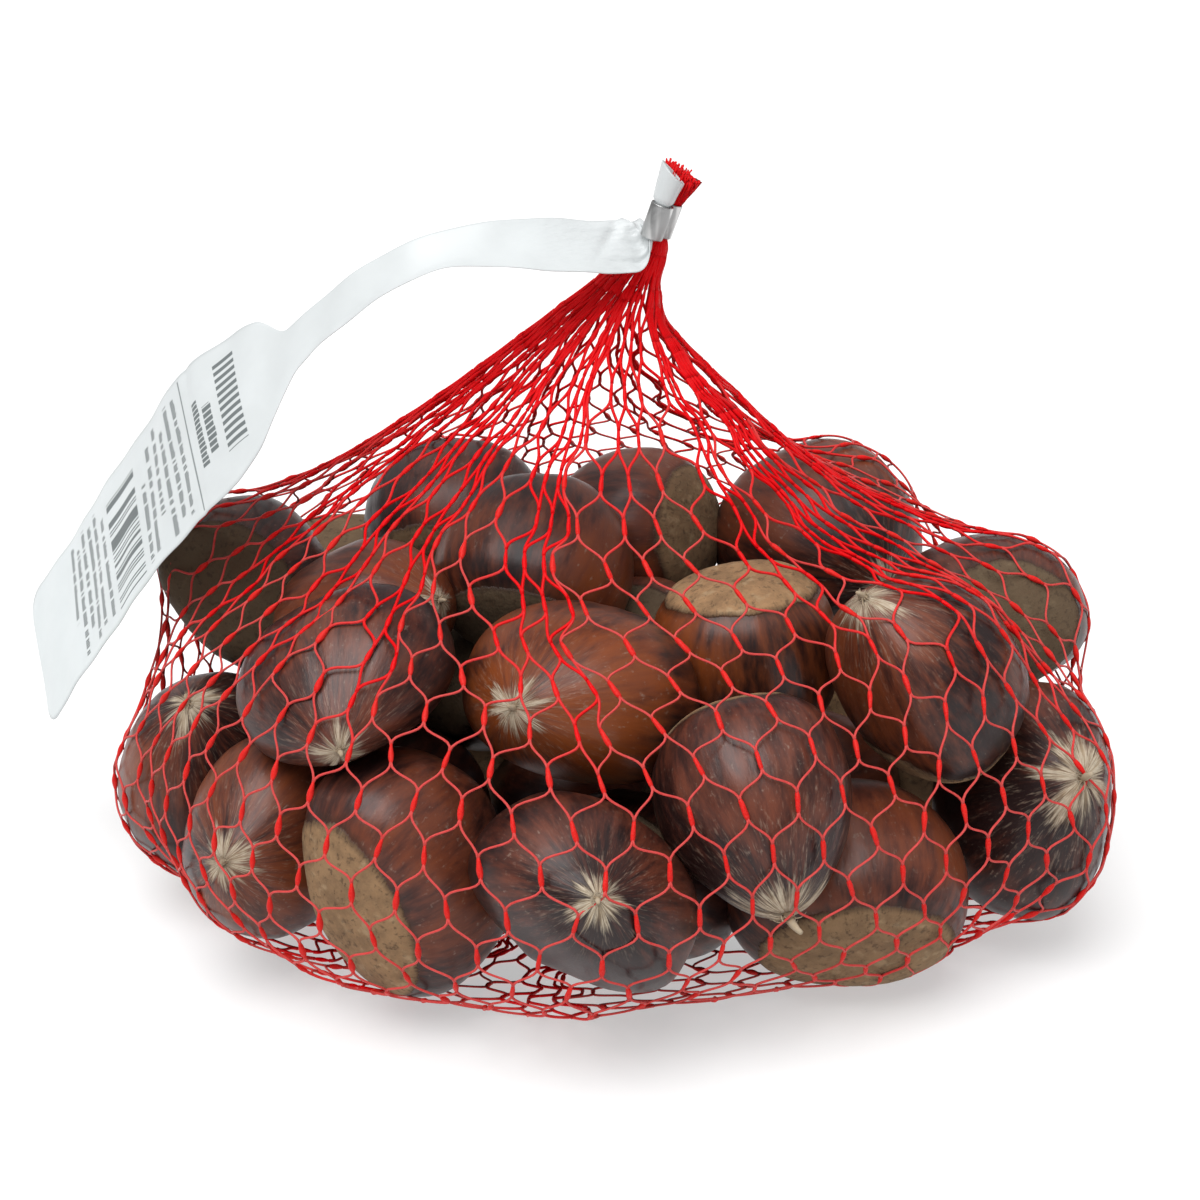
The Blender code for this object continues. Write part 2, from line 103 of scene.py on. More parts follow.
# Settling: rounds, the share of an overlap that a round undoes, and of the way back to the first place
SETTLE_ROUNDS, SETTLE_PUSH, SETTLE_PULL = 60, 0.22, 0.08
SIGHT_PULL = 0.3                         # share of that way back along the line of sight
SETTLE_NEAR, SETTLE_MOST = 42.0, 6.0     # farthest pair that is tested, and the deepest overlap that counts
SKIN_GRID, PROBE = (14, 8), 0.5          # tested points round and along a shell, and the step for its slope
FLOOR_GAP = 0.6
VIEW_RISE = math.radians(22.0)
NUT_AROUND, NUT_RINGS = 84, 56
SCAR_WIDE, SCAR_THICK = 0.80, 0.86       # size of the scar as shares of the width and thickness
WAVES, WAVE_HEIGHT, FURROW_DEPTH = 7, 0.16, 0.045      # low waves and furrows of a shell
SCAR_RAISED, SCAR_EDGE, SCAR_SOFT = 0.30, 1.03, 0.08   # how far the scar stands out, and where and how soon
PAINTED_LIGHT_SIDE = 0.35                        # painted top light: how much lighter one side of a chestnut, mostly its upper side, is painted than its middle

# Clip, neck and cut tuft
CLIP_MIDDLE, CLIP_LEAN = (7.4, 0.0, 117.7), math.radians(19.0)
CLIP_LENGTH, LOBE_RADIUS, BORE_RADIUS = 5.6, 1.85, 1.45
LOBE_OFFSET = (0.75, 1.55)               # from the clip's middle to that of the rear lobe
LOBE_ARC, LOBE_POINTS = (-158, 172), 44  # degrees round a lobe from its inner end, and the points on it
CURL_IN, CURL_FROM, CURL_OVER = 0.16, math.radians(-120), 0.65    # how the inner end curls further in
HELD_RADIUS = 1.15                       # bunched yarn, or rolled film, inside a lobe
# Bunched neck: height from the clip's middle, radius
NECK = ((-7.0, 0.6), (-6.0, 1.25), (-4.8, 1.4), (-3.4, 1.25), (-1.0, HELD_RADIUS), (2.6, HELD_RADIUS))
NECK_STRAIGHT, NECK_SAG = -3.4, 0.12     # height under which the neck hangs to the left, and how much
# Cut tuft: height from the clip's middle, radius, how far back it leans
TUFT = ((3.0, 1.35, 0.0), (4.4, 2.0, 0.2), (6.2, 2.7, 0.5), (8.6, 3.1, 0.9))
TUFT_LEAN = 0.15                         # sideways share of that lean
CORE_TOP, CORE_BELOW, CORE_SHARE = 7.9, 0.8, 0.92      # the core inside the tuft: lower and slimmer
CUT_ENDS, CUT_FROM, CUT_TOP = 230, 2.4, (7.2, 8.3)     # cut yarns, where they start and where they end
CUT_SLOPE, CUT_CURL, CUT_SWAY = 0.9, 0.34, 0.22        # how oblique the cut is, and how the yarns bend

# Label. Places along the strip are counted from the start of the band, at the clip.
BAND_LENGTH, TAG_LENGTH, TAG_CORNER = 61.5, 86.0, 4.5
# Place along the strip, and half its width above and below the centre line
UPPER_HALF = ((0, 5.8), (61, 5.8), (62.5, 8.0), (65, 11.4), (69, 12.8), (79, 14.0))
LOWER_HALF = ((0, 5.0), (5, 5.6), (15, 4.8), (22, 3.2), (30, 1.8), (55, 1.4), (60, 2.6), (65, 7.2),
              (70, 11.2), (76, 13.6), (80, 14.0))
BAND_START = (2.2, -3.3, 113.9)
BAND_YAW, BAND_TILT = math.radians(16.0), math.radians(57.0)
# Place along the strip, and how many degrees it has bent down
BEND = ((0, -9), (12.6, -5), (24.6, 5), (36.6, 36), (46.6, 49), (60.6, 50), (81.6, 53), (86.6, 65),
        (120, 68), (152, 70))
GATHER, GATHER_LOW = 8.0, (5.1, -2.1, 112.4)   # length of the drawn-in film, and its curve's control point
# Folds out of the clip: height, width, and how fast each crosses the band from its upper edge
RIDGE, GROOVE, FOLD_EDGE = (1.25, 1.7, 1.2), (0.60, 1.5, -1.3), 5.8
CREASE = 84.0                            # place of the crease across the tag
ROLL_TOP, ROLL_RADIUS, ROLL_SLOPE = 7.9, 2.3, 0.55     # the rolled end, and how oblique its cut is
ROLL_HEIGHTS = (-3.0, -1.0, 1.5, 2.9, 3.4, 4.0, 4.6, 5.4, 6.2, 7.0, 7.7, ROLL_TOP)
ROLL_START, ROLL_TURNS, ROLL_INNER = 2.4, 1.85, 0.62   # first angle, turns, and inner radius as a share
# Bold print: start and end along the strip, low and high across it
HEADING, BARS = (71.8, 76.6, -10.6, 7.6), (103.7, 114.4, -9.5, 12.6)
# Middle print: start, height, low, high, cell, seed, share left blank
SUBHEADS = ((78.4, 2.1, -4.2, 5.2, 1.15, 2, 0.0), (81.2, 1.7, -6.5, 8.5, 0.95, 3, 0.12))
# Small print: where a row starts along the strip, and its reach across, low and high
PRINT_ROWS = ((87.2, -11.5, 11.8), (89.9, -12.0, 10.4), (92.6, -9.0, 12.2), (95.3, -11.8, 6.0),
              (98.0, -10.0, 11.5), (100.4, -4.0, 12.0), (116.2, -8.5, 11.5), (119.4, -12.0, 11.0),
              (121.9, -11.0, 12.0), (124.4, -12.2, 8.0), (126.9, -10.0, 12.0), (129.4, -12.0, 4.0))

# Camera of the photograph: what it looks at, how far away, and its lens for a 36 mm sensor
AIM, FAR, LENS, SENSOR = (-2.2, 0.0, 53.5), 480.0, 87.4, 36.0

# Light and floor
KEY_FROM = (-0.22, -0.38, 0.90)          # direction that the large soft light comes from
SKY_RANGE = (0.0, 1.0, 0.28, 0.95)       # height of the ray, low and high, and how bright the sky is there
FLOOR_HALF = 6.0                         # metres


def unit(v):
    """Vectors divided by their lengths."""
    v = np.asarray(v, float)
    return v / np.linalg.norm(v, axis=-1, keepdims=True)


def smooth(t):
    """Rises from 0 to 1 with level ends: three squares less two cubes."""
    t = np.clip(t, 0, 1)
    return t * t * (3 - 2 * t)


def circle(angle):
    """Points of a level circle of radius 1: cosine, sine and no height."""
    return np.stack((np.cos(angle), np.sin(angle), 0 * angle), -1)


# Settings that a user would change

def tint(name, description, default):
    """A colour that a user can pick."""
    return FloatVectorProperty(name=name, description=description, subtype="COLOR", size=3, min=0, max=1,
                               default=default)


def measure(name, description, low, high, default):
    """A length, in metres as Blender counts it."""
    return FloatProperty(name=name, description=description, subtype="DISTANCE", unit="LENGTH", min=low,
                         max=high, default=default)


class NETBAG_PG_nuts(PropertyGroup):
    """Colours and gloss of the shells"""
    dark: tint("Dark shell", "Colour of the darkest shells", (0.014, 0.0058, 0.0056))
    brown: tint("Brown shell", "Colour of the common shell", (0.110, 0.030, 0.017))
    orange: tint("Orange shell", "Colour of the warm patches", (0.20, 0.048, 0.010))
    scar: tint("Scar", "Colour of the pale scar at the base", (0.36, 0.215, 0.105))
    gloss: FloatProperty(name="Shell roughness", description="Roughness of the shell", subtype="FACTOR",
                         min=0, max=1, default=0.34)


class NETBAG_PG_net(PropertyGroup):
    """Meshes, yarn and colours of the net"""
    columns: IntProperty(name="Columns", description="Meshes round the bag", min=12, max=120, default=57)
    rows: IntProperty(name="Rows", description="Rows of knots from bottom to neck", min=8, max=60, default=30)
    knot: measure("Knot length", "Length of a knot", 0.0005, 0.01, 0.00265)
    strand: measure("Strand length", "Yarn between two knots", 0.002, 0.03, 0.0061)
    yarn: measure("Yarn thickness", "Diameter of the yarn", 0.0001, 0.003, 0.00038)
    colour: tint("Yarn colour", "Colour of a single yarn", (0.50, 0.050, 0.046))
    deep: tint("Knot colour", "Colour where the net is drawn together", (0.58, 0.012, 0.009))


class NETBAG_PG_label(PropertyGroup):
    """Film and print of the label"""
    film: tint("Film", "Colour of the label film", (0.54, 0.565, 0.57))
    ink: tint("Print", "Colour of the print", (0.075, 0.09, 0.092))
    thickness: measure("Film thickness", "Thickness of the film", 0.00005, 0.001, 0.00014)


class NETBAG_PG_clip(PropertyGroup):
    """Metal of the clip"""
    metal: tint("Metal", "Colour of the clip", (0.58, 0.58, 0.575))
    wall: measure("Wall", "Thickness of the crimped band", 0.0001, 0.001, 0.00038)


class NETBAG_PG_stage(PropertyGroup):
    """Floor and light"""
    floor: tint("Floor", "Colour of the floor", (0.50, 0.50, 0.50))
    glow: FloatProperty(name="Floor glow", description="How brightly the lit table shines by itself", min=0,
                        max=2, default=0.46)
    sky: FloatProperty(name="Sky", description="Strength of the soft light from all round", min=0, max=10,
                       default=1.0)
    key: FloatProperty(name="Key light", description="Strength of the large soft light above", min=0, max=50,
                       default=3.0)
    spread: FloatProperty(name="Key size", description="Angle that the large light fills", subtype="ANGLE",
                          min=0, max=math.pi, default=math.radians(50))


# Shader maths

class Wire:
    """A socket of a material that sums and products can be written with."""

    def __init__(self, paint, socket):
        self.paint, self.socket = paint, socket

    def maths(self, operation, a, b=0.0):
        return self.paint.node("ShaderNodeMath", {"operation": operation}, {0: a, 1: b})

    def __add__(self, other):
        return self.maths("ADD", self, other)

    def __sub__(self, other):
        return self.maths("SUBTRACT", self, other)

    def __rsub__(self, other):
        return self.maths("SUBTRACT", other, self)

    def __mul__(self, other):
        return self.maths("MULTIPLY", self, other)

    def __truediv__(self, other):
        return self.maths("DIVIDE", self, other)

    __radd__, __rmul__ = __add__, __mul__

    def above(self, other):
        return self.maths("GREATER_THAN", self, other)

    def least(self, other):
        return self.maths("MINIMUM", self, other)

    def floor(self):
        return self.maths("FLOOR", self)

    def part(self):
        return self.maths("FRACT", self)

    def rise(self, low, high, to_low=0.0, to_high=1.0):
        """Smooth step from to_low at low to to_high at high."""
        return self.paint.node("ShaderNodeMapRange", {"interpolation_type": "SMOOTHSTEP"},
                               {0: self, 1: low, 2: high, 3: to_low, 4: to_high})


class Paint:
    """One material: its constants go on the shader's own sockets, and its nodes are made by node()."""

    def __init__(self, name, **constants):
        self.material = bpy.data.materials.new(name)
        self.material.use_nodes = True
        self.tree = self.material.node_tree
        self.shader = self.tree.nodes["Principled BSDF"]
        for key, value in constants.items():
            self.put(self.shader.inputs[key.replace("_", " ")], value)

    def put(self, socket, value):
        if isinstance(value, Wire):
            self.tree.links.new(value.socket, socket)
        elif socket.type == "RGBA" and len(tuple(value)) == 3:
            socket.default_value = (*value, 1.0)
        else:
            socket.default_value = value

    def node(self, kind, settings=(), sockets=(), output=0):
        """A node of that type. Its settings are set first, then its sockets."""
        made = self.tree.nodes.new(kind)
        for key, value in dict(settings).items():
            setattr(made, key, value)
        for key, value in dict(sockets).items():
            self.put(made.inputs[key], value)
        return Wire(self, made.outputs[output])

    def attribute(self, name, output=2):
        """An attribute of the mesh: output 2 is a number, and output 1 a vector."""
        return self.node("ShaderNodeAttribute", {"attribute_name": name}, output=output)

    def place(self):
        """Object coordinates, in metres."""
        return self.node("ShaderNodeTexCoord", output=3)

    def noise(self, vector, scale, detail=2.0, rough=0.5):
        return self.node("ShaderNodeTexNoise", (), {"Vector": vector, "Scale": scale, "Detail": detail,
                                                    "Roughness": rough})

    def mix(self, share, a, b):
        return self.node("ShaderNodeMix", {"data_type": "RGBA"}, {0: share, 6: a, 7: b}, output=2)

    def join(self, x, y, z=0.0):
        return self.node("ShaderNodeCombineXYZ", (), {0: x, 1: y, 2: z})

    def split(self, vector, output):
        return self.node("ShaderNodeSeparateXYZ", (), {0: vector}, output=output)

    def dice(self, vector):
        """A random number for each whole-number cell."""
        return self.node("ShaderNodeTexWhiteNoise", {"noise_dimensions": "3D"}, {"Vector": vector})

    def bump(self, height, distance, strength=1.0):
        return self.node("ShaderNodeBump", (), {"Height": height, "Distance": distance, "Strength": strength})

    def finish(self, **varying):
        for key, value in varying.items():
            self.put(self.shader.inputs[key.replace("_", " ")], value)
        return self.material


# Mesh helpers

def add_piece(name, points, faces, material, slot, attributes=()):
    """A shown mesh from points in millimetres and arrays of faces, riding on the bag."""
    mesh = bpy.data.meshes.new(name)
    points = np.asarray(points, float).reshape(-1, 3)
    mesh.from_pydata(points * MM, [], [face for block in faces for face in np.asarray(block).tolist()])
    for key, value in dict(attributes).items():
        value = np.asarray(value, np.float32)
        kind, field = ("FLOAT_VECTOR", "vector") if value.shape == points.shape else ("FLOAT", "value")
        mesh.attributes.new(key, kind, "POINT").data.foreach_set(field, value.ravel())
    mesh.materials.append(material)
    mesh.shade_smooth()
    mesh.update()
    piece = bpy.data.objects.new(name, mesh)
    bpy.context.scene.collection.objects.link(piece)
    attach(piece, "root")
    return piece


def grid_faces(rows, columns, closed=False):
    """Quads over a grid of points numbered row by row; a closed grid joins its last column to its first."""
    r, c = np.meshgrid(np.arange(rows - 1), np.arange(columns if closed else columns - 1), indexing="ij")
    n = (c + 1) % columns
    quads = np.stack((r * columns + c, r * columns + n, (r + 1) * columns + n, (r + 1) * columns + c), -1)
    return quads.reshape(-1, 4)


def tubes(paths, radii, sides, out, squash=1.0, twist=None):
    """Round tubes along many paths at once: at each point a ring square to the path, of that point's radius,
    closed by a face at each end. out is a direction away from each path's own plane."""
    count, steps = paths.shape[:2]
    way = unit(np.gradient(paths, axis=1))
    u = unit(np.cross(way, out))
    v = np.cross(way, u)
    angle = np.arange(sides) * TURN / sides
    ring = np.broadcast_to(radii[..., None], (count, steps, sides))
    if twist is not None:
        ring = ring * twist(angle)
    points = (paths[:, :, None] + u[:, :, None] * (ring * np.cos(angle))[..., None]
              + v[:, :, None] * (ring * np.sin(angle) * squash)[..., None])
    first = (np.arange(count) * steps * sides)[:, None, None]
    body = (grid_faces(steps, sides, True)[None] + first).reshape(-1, 4)
    start = np.arange(sides)[::-1] + first[:, :, 0]
    end = np.arange(sides) + (steps - 1) * sides + first[:, :, 0]
    return points.reshape(-1, 3), [body, start, end]


def per_point(values, steps, sides):
    """Repeats one value for each tube over all its points."""
    return np.repeat(np.asarray(values).ravel(), steps * sides)


# Chestnuts

def nut_axes(tip, turn):
    """Rows: the width, thickness and tip directions. Without a turn the width lies level."""
    tip = unit(tip)
    side = np.cross((0, 0, 1), tip)
    if np.linalg.norm(side) < 0.2:
        side = np.array((1.0, 0, 0)) - tip * tip[0]
    side = unit(side)
    angle = math.radians(turn)
    wide = math.cos(angle) * side + math.sin(angle) * np.cross(tip, side)
    return np.array((wide, np.cross(tip, wide), tip))


def nut_gauge(q, width, thickness, height):
    """How many times the chestnut would have to grow to reach q, in its own axes: a superellipsoid with one
    face flatter and the base blunter than the tip."""
    half = np.where(q[..., 1] < 0, FLAT_SHARE, 2 - FLAT_SHARE) * thickness / 2
    power = np.where(q[..., 2] < 0, BASE_POWER, TIP_POWER)
    reach = np.where(q[..., 2] < 0, BASE_SHARE, 1 - BASE_SHARE) * height
    girth = np.abs(q[..., 0] * 2 / width) ** GIRTH_POWER + np.abs(q[..., 1] / half) ** GIRTH_POWER
    return (girth ** (power / GIRTH_POWER) + np.abs(q[..., 2] / reach) ** power) ** (1 / power)


def tip_rise(angle, size=1.0):
    """The small rise round the tip, by the angle away from it. It is higher and wider under a large tuft."""
    return 1 + TIP_RISE * size * np.exp(-(angle / (TIP_REACH * size)) ** 2)


def polar_ways(around, rings):
    """Directions of a polar grid from base to tip, with the two angles."""
    polar = np.linspace(0, math.pi, rings + 1)[:, None] + np.zeros((1, around))
    angle = np.linspace(0, TURN, around, endpoint=False)[None, :] + np.zeros((rings + 1, 1))
    way = np.stack((np.sin(polar) * np.cos(angle), np.sin(polar) * np.sin(angle), -np.cos(polar)), -1)
    return way, polar, angle


def settle(nuts):
    """Centres of the chestnuts after they are pushed apart where they overlap and lifted off the ground."""
    first = np.array([nut[1] for nut in nuts], float)
    place = first.copy()
    frames = [nut_axes(nut[2], nut[3]) for nut in nuts]
    way, polar, _ = polar_ways(*SKIN_GRID)
    skins = []
    for nut, axes in zip(nuts, frames):
        reach = tip_rise(math.pi - polar) / nut_gauge(way, *nut[4:7])
        skins.append(((way * reach[..., None]) @ axes).reshape(-1, 3))
    sight = np.array((0, math.cos(VIEW_RISE), -math.sin(VIEW_RISE)))
    for _ in range(SETTLE_ROUNDS):
        shift = np.zeros_like(place)
        for i, skin in enumerate(skins):
            for j, nut in enumerate(nuts):
                if i == j or np.linalg.norm(place[i] - place[j]) > SETTLE_NEAR:
                    continue
                q = (skin + place[i] - place[j]) @ frames[j].T
                gauge = nut_gauge(q, *nut[4:7])
                deep = gauge.argmin()
                if gauge[deep] >= 1:
                    continue
                slope = (nut_gauge(q[deep] + PROBE * np.eye(3), *nut[4:7]) - gauge[deep]) / PROBE
                depth = min((1 - gauge[deep]) / max(np.linalg.norm(slope), 1e-6), SETTLE_MOST)
                push = unit(slope @ frames[j]) * depth * SETTLE_PUSH
                shift[i] += push
                shift[j] -= push
        place += shift
        back = first - place
        along = np.outer(back @ sight, sight)
        place += SETTLE_PULL * (back - along) + SIGHT_PULL * SETTLE_PULL * along
        for i, skin in enumerate(skins):
            place[i, 2] += max(0.0, FLOOR_GAP - (skin[:, 2] + place[i, 2]).min())
    return place


@functools.lru_cache(maxsize=1)
def heap():
    """Each chestnut with its settled centre and its axes."""
    return [(nut, centre, nut_axes(nut[2], nut[3])) for nut, centre in zip(NUTS, settle(NUTS))]


def lumps(way, seed):
    """Slight unevenness of a shell, in millimetres: low waves over the directions, and shallow furrows that
    run from base to tip."""
    rng = np.random.default_rng(seed)
    height = np.zeros(way.shape[:-1])
    for _ in range(WAVES):
        wave = rng.normal(0, 2.4, 3)
        height += WAVE_HEIGHT * np.sin(way @ wave + rng.uniform(0, TURN))
    angle = np.arctan2(way[..., 1], way[..., 0])
    level = np.sqrt(np.clip(1 - way[..., 2] ** 2, 0, 1))
    for k in rng.integers(7, 24, 4):
        bend = 0.5 * np.sin(2.2 * way[..., 2] + rng.uniform(0, TURN))
        height += FURROW_DEPTH * np.sin(k * angle + bend * 2 + rng.uniform(0, TURN)) * level ** 2
    return height


def nut_mesh(nut, centre, axes, seed):
    """Points, faces and attributes of one chestnut: every direction of a fine polar grid stretched to the
    surface, the scar raised a little inside its ragged edge, and the poles closed by triangles."""
    width, thickness, height = nut[4:7]
    way, polar, angle = polar_ways(NUT_AROUND, NUT_RINGS)
    q = way * (tip_rise(math.pi - polar, nut[10]) / nut_gauge(way, width, thickness, height))[..., None]
    scar = np.hypot(q[..., 0] / (SCAR_WIDE * width / 2), q[..., 1] / (SCAR_THICK * thickness / 2))
    scar = scar + np.clip(q[..., 2] / height + 0.14, 0, 1) * 4
    rise = lumps(way, seed) + SCAR_RAISED * smooth((SCAR_EDGE - scar) / SCAR_SOFT)
    q = q + way * rise[..., None]
    points = q @ axes + centre
    flat = [points[0, :1], points[1:-1].reshape(-1, 3), points[-1:, 0]]
    k = np.arange(NUT_AROUND)
    n = (k + 1) % NUT_AROUND
    last = 1 + (NUT_RINGS - 1) * NUT_AROUND
    faces = [np.stack((0 * k, 1 + n, 1 + k), -1),
             np.stack((0 * k + last, last - NUT_AROUND + k, last - NUT_AROUND + n), -1),
             grid_faces(NUT_RINGS - 1, NUT_AROUND, True) + 1]

    def spread(value):
        return np.concatenate((value[0, :1], value[1:-1].reshape(-1, *value.shape[2:]), value[-1:, 0]))

    shift = np.random.default_rng(seed + 100).uniform(0, 40, 3)
    grain = np.stack((np.cos(angle), np.sin(angle), polar * 0.30), -1) + shift
    # Painted top light: each shell is painted lighter, and a little more orange, on a side that faces mostly
    # up and a little to the front, and darker on the opposite side; that side turns a little at random from
    # nut to nut.
    pale = unit(np.random.default_rng(seed + 200).normal(0, 1, 3) + (0.0, -0.2, 1.6))
    painted_top_light = PAINTED_LIGHT_SIDE * (way @ axes @ pale)
    tone = np.broadcast_to(np.array(nut[7:10]), points.shape) + painted_top_light[..., None] * (1.0, 0.4, 0.0)
    attributes = {"scar": spread(scar), "from_tip": spread((math.pi - polar) / nut[10]),
                  "grain": spread(grain), "own": spread((q + shift * 10) * MM), "tone": spread(tone)}
    return np.concatenate(flat), faces, attributes


def shell_material(nuts):
    """Satin shell with fine stripes from base to tip, warm patches, a painted lighter upper side, a matte
    speckled scar with a dark rim, and pale felt rays round the tip."""
    p = Paint("chestnut_shell", Specular_IOR_Level=0.34)
    grain, own, tone = (p.attribute(name, output=1) for name in ("grain", "own", "tone"))
    scar, from_tip = p.attribute("scar"), p.attribute("from_tip")
    # The first share holds each nut's own lightness with the painted top light added, the second its
    # orangeness with a little of that painted light.
    light, warm, olive = (p.split(tone, k) for k in range(3))
    stripes = p.noise(grain, 9.0, 3.0, 0.55)
    fine = p.noise(grain, 34.0, 3.0, 0.6)
    patch = p.noise(own, 55.0, 2.0, 0.5)
    speck = p.noise(own, 900.0, 3.0, 0.6)
    share = (stripes - 0.5) * 1.5 + (fine - 0.5) * 0.5 + (patch - 0.5) * 1.9 + light
    shell = p.mix(share.rise(0.0, 1.0), nuts.dark, nuts.brown)
    glow = (patch * 1.5 + stripes * 0.9 + warm * 0.6).rise(1.30, 2.00)
    shell = p.mix((glow * warm * 1.15).least(1.0), shell, nuts.orange)
    dust = (speck * 0.7 + fine * 0.4).rise(0.62, 0.78) * patch.rise(0.36, 0.60) * 0.42
    shell = p.mix(dust, shell, (0.30, 0.24, 0.19))
    ragged = scar + (p.noise(own, 260.0, 3.0) - 0.5) * 0.10 + (fine - 0.5) * 0.06
    inside = ragged.rise(1.02, 0.99)
    rim = ragged.rise(0.93, 1.0) * ragged.rise(1.09, 1.02)
    tan = p.mix(olive, nuts.scar, (0.088, 0.060, 0.034))
    blot = p.noise(own, 260.0, 6.0, 0.72)
    tan = p.mix(blot.rise(0.30, 0.66), p.mix(0.55, tan, (0.085, 0.050, 0.026)), tan)
    tan = p.mix((speck * 0.8 + fine * 0.3).rise(0.58, 0.70) * 0.60, tan, (0.045, 0.026, 0.014))
    flecks = p.noise(own, 420.0, 3.0).rise(0.55, 0.72) * (0.45 - olive * 0.40)
    tan = p.mix(flecks, tan, (0.46, 0.35, 0.21))
    colour = p.mix(inside, shell, tan)
    colour = p.mix(rim * 0.6, colour, (0.030, 0.014, 0.008))
    star = p.noise(grain, 2.6, 1.0, 0.5)
    rays = p.noise(grain, 14.0, 3.0, 0.65)
    ragged = from_tip - (star - 0.5) * 0.62 - (rays - 0.5) * 0.40
    felt = ragged.rise(0.28, 0.11) * (p.noise(own, 800.0, 3.0) + 0.45).least(1.0)
    pale = p.mix(rays.rise(0.38, 0.60), (0.27, 0.20, 0.125), (0.48, 0.41, 0.31))
    colour = p.mix(felt, colour, pale)
    streak = (fine + (rays - 0.5)).rise(0.54, 0.80) * from_tip.rise(1.15, 0.25)
    colour = p.mix(streak * 0.32, colour, (0.36, 0.28, 0.21))
    matte = (inside + felt).least(1.0)
    height = stripes * 0.25 + fine * 0.18 + inside * (blot * 1.4 + speck * 0.9) + felt * rays * 1.5
    return p.finish(Base_Color=colour, Roughness=matte * 0.48 + nuts.gloss + (patch - 0.5) * 0.12,
                    Normal=p.bump(height, 0.00025, 0.75))


class NETBAG_OT_chestnuts(Operator):
    """Makes the chestnuts, settled into their heap"""
    bl_idname = "netbag.chestnuts"
    bl_label = "Chestnuts"

    def execute(self, context):
        material = shell_material(context.scene.netbag_nuts)
        for seed, (nut, centre, axes) in enumerate(heap()):
            points, faces, attributes = nut_mesh(nut, centre, axes, seed)
            piece = add_piece(f"nut_{nut[0]}", points, faces, material, "chestnut_shell", attributes)
            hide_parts("net_bag")
        return {"FINISHED"}


# Tufts at the tips

TUFT_FIBRES, TUFT_STEPS = 22, 6


def tuft_fibres(nut, centre, axes, seed):
    """Dried fibres that leave the tip in all directions and lie down on the shell: each point's angle from
    the tip grows along the fibre, and its distance is the shell's own reach plus a small clearance."""
    rng = np.random.default_rng(seed + 500)
    size = nut[10]
    t = np.linspace(0, 1, TUFT_STEPS)[None, :]
    start = rng.uniform(0, TURN, (TUFT_FIBRES, 1))
    turn = start + rng.normal(0, 0.45, (TUFT_FIBRES, 1)) * t
    lopsided = 1 + 0.6 * np.cos(start + rng.uniform(0, TURN))
    spread = 0.03 + rng.uniform(0.0, 0.26, (TUFT_FIBRES, 1)) ** 2 * size * lopsided
    polar = 0.015 + spread * t ** 1.1
    way = np.stack((np.sin(polar) * np.cos(turn), np.sin(polar) * np.sin(turn), np.cos(polar)), -1)
    reach = tip_rise(polar, size) / nut_gauge(way, *nut[4:7])
    lift = (rng.uniform(0.0, 0.9, (TUFT_FIBRES, 1)) ** 2 * np.sin(t * 2.6) + 0.16) * size
    paths = (way * (reach + lift)[..., None]) @ axes + centre
    radii = (rng.uniform(0.08, 0.21, (TUFT_FIBRES, 1)) * (1 - 0.80 * t)) * math.sqrt(size)
    return paths, radii


def stub_path(nut, centre, axes, seed):
    """Short woody stub that stands on the tip, bent a little."""
    rng = np.random.default_rng(seed + 900)
    t = np.linspace(0, 1, TUFT_STEPS)[:, None]
    top = (1 - BASE_SHARE) * nut[6] * (1 + TIP_RISE * nut[10]) - 0.6
    lean = rng.normal(0, 0.5, 2)
    local = np.concatenate((lean * t ** 2, top + t * 2.6 * nut[10]), 1)
    return local @ axes + centre, (0.95 - 0.6 * t[:, 0]) * math.sqrt(nut[10]) * 0.85


def tuft_material():
    """Dry pale felt, browner towards its roots."""
    p = Paint("tuft_felt", Roughness=0.9)
    own = p.place()
    grain = p.noise(own, 1400.0, 2.0)
    colour = p.mix(p.attribute("along").rise(0.0, 0.8), (0.13, 0.088, 0.050), (0.37, 0.30, 0.215))
    colour = p.mix(grain.rise(0.35, 0.65) * 0.5, colour, (0.30, 0.22, 0.13))
    return p.finish(Base_Color=colour, Normal=p.bump(grain, 0.0001))


class NETBAG_OT_tufts(Operator):
    """Makes the dried tufts at the tips of the chestnuts"""
    bl_idname = "netbag.tufts"
    bl_label = "Tufts"

    def execute(self, context):
        paths, radii, outs = [], [], []
        for seed, (nut, centre, axes) in enumerate(heap()):
            fibre, thick = tuft_fibres(nut, centre, axes, seed)
            stub, stub_thick = stub_path(nut, centre, axes, seed)
            paths += [fibre, stub[None]]
            radii += [thick, stub_thick[None]]
            outs.append(np.broadcast_to(np.cross(axes[2], (0.31, 0.52, 0.8)), (TUFT_FIBRES + 1, 1, 3)))
        paths, radii, outs = (np.concatenate(block) for block in (paths, radii, outs))
        points, faces = tubes(paths, radii, 5, outs)
        along = np.tile(np.repeat(np.linspace(0, 1, TUFT_STEPS), 5), len(paths))
        add_piece("nut_tufts", points, faces, tuft_material(), "chestnut_shell", {"along": along})
        return {"FINISHED"}


# Clip frame

def clip_frame():
    """Rows: the clip's own x, y and its axis."""
    axis = np.array((math.sin(CLIP_LEAN), 0, math.cos(CLIP_LEAN)))
    return np.array((np.cross((0, 1, 0), axis), (0, 1, 0), axis))


def on_clip(local):
    """Points given in the clip's own frame, from its middle."""
    return np.array(CLIP_MIDDLE) + np.asarray(local, float) @ clip_frame()


# Net

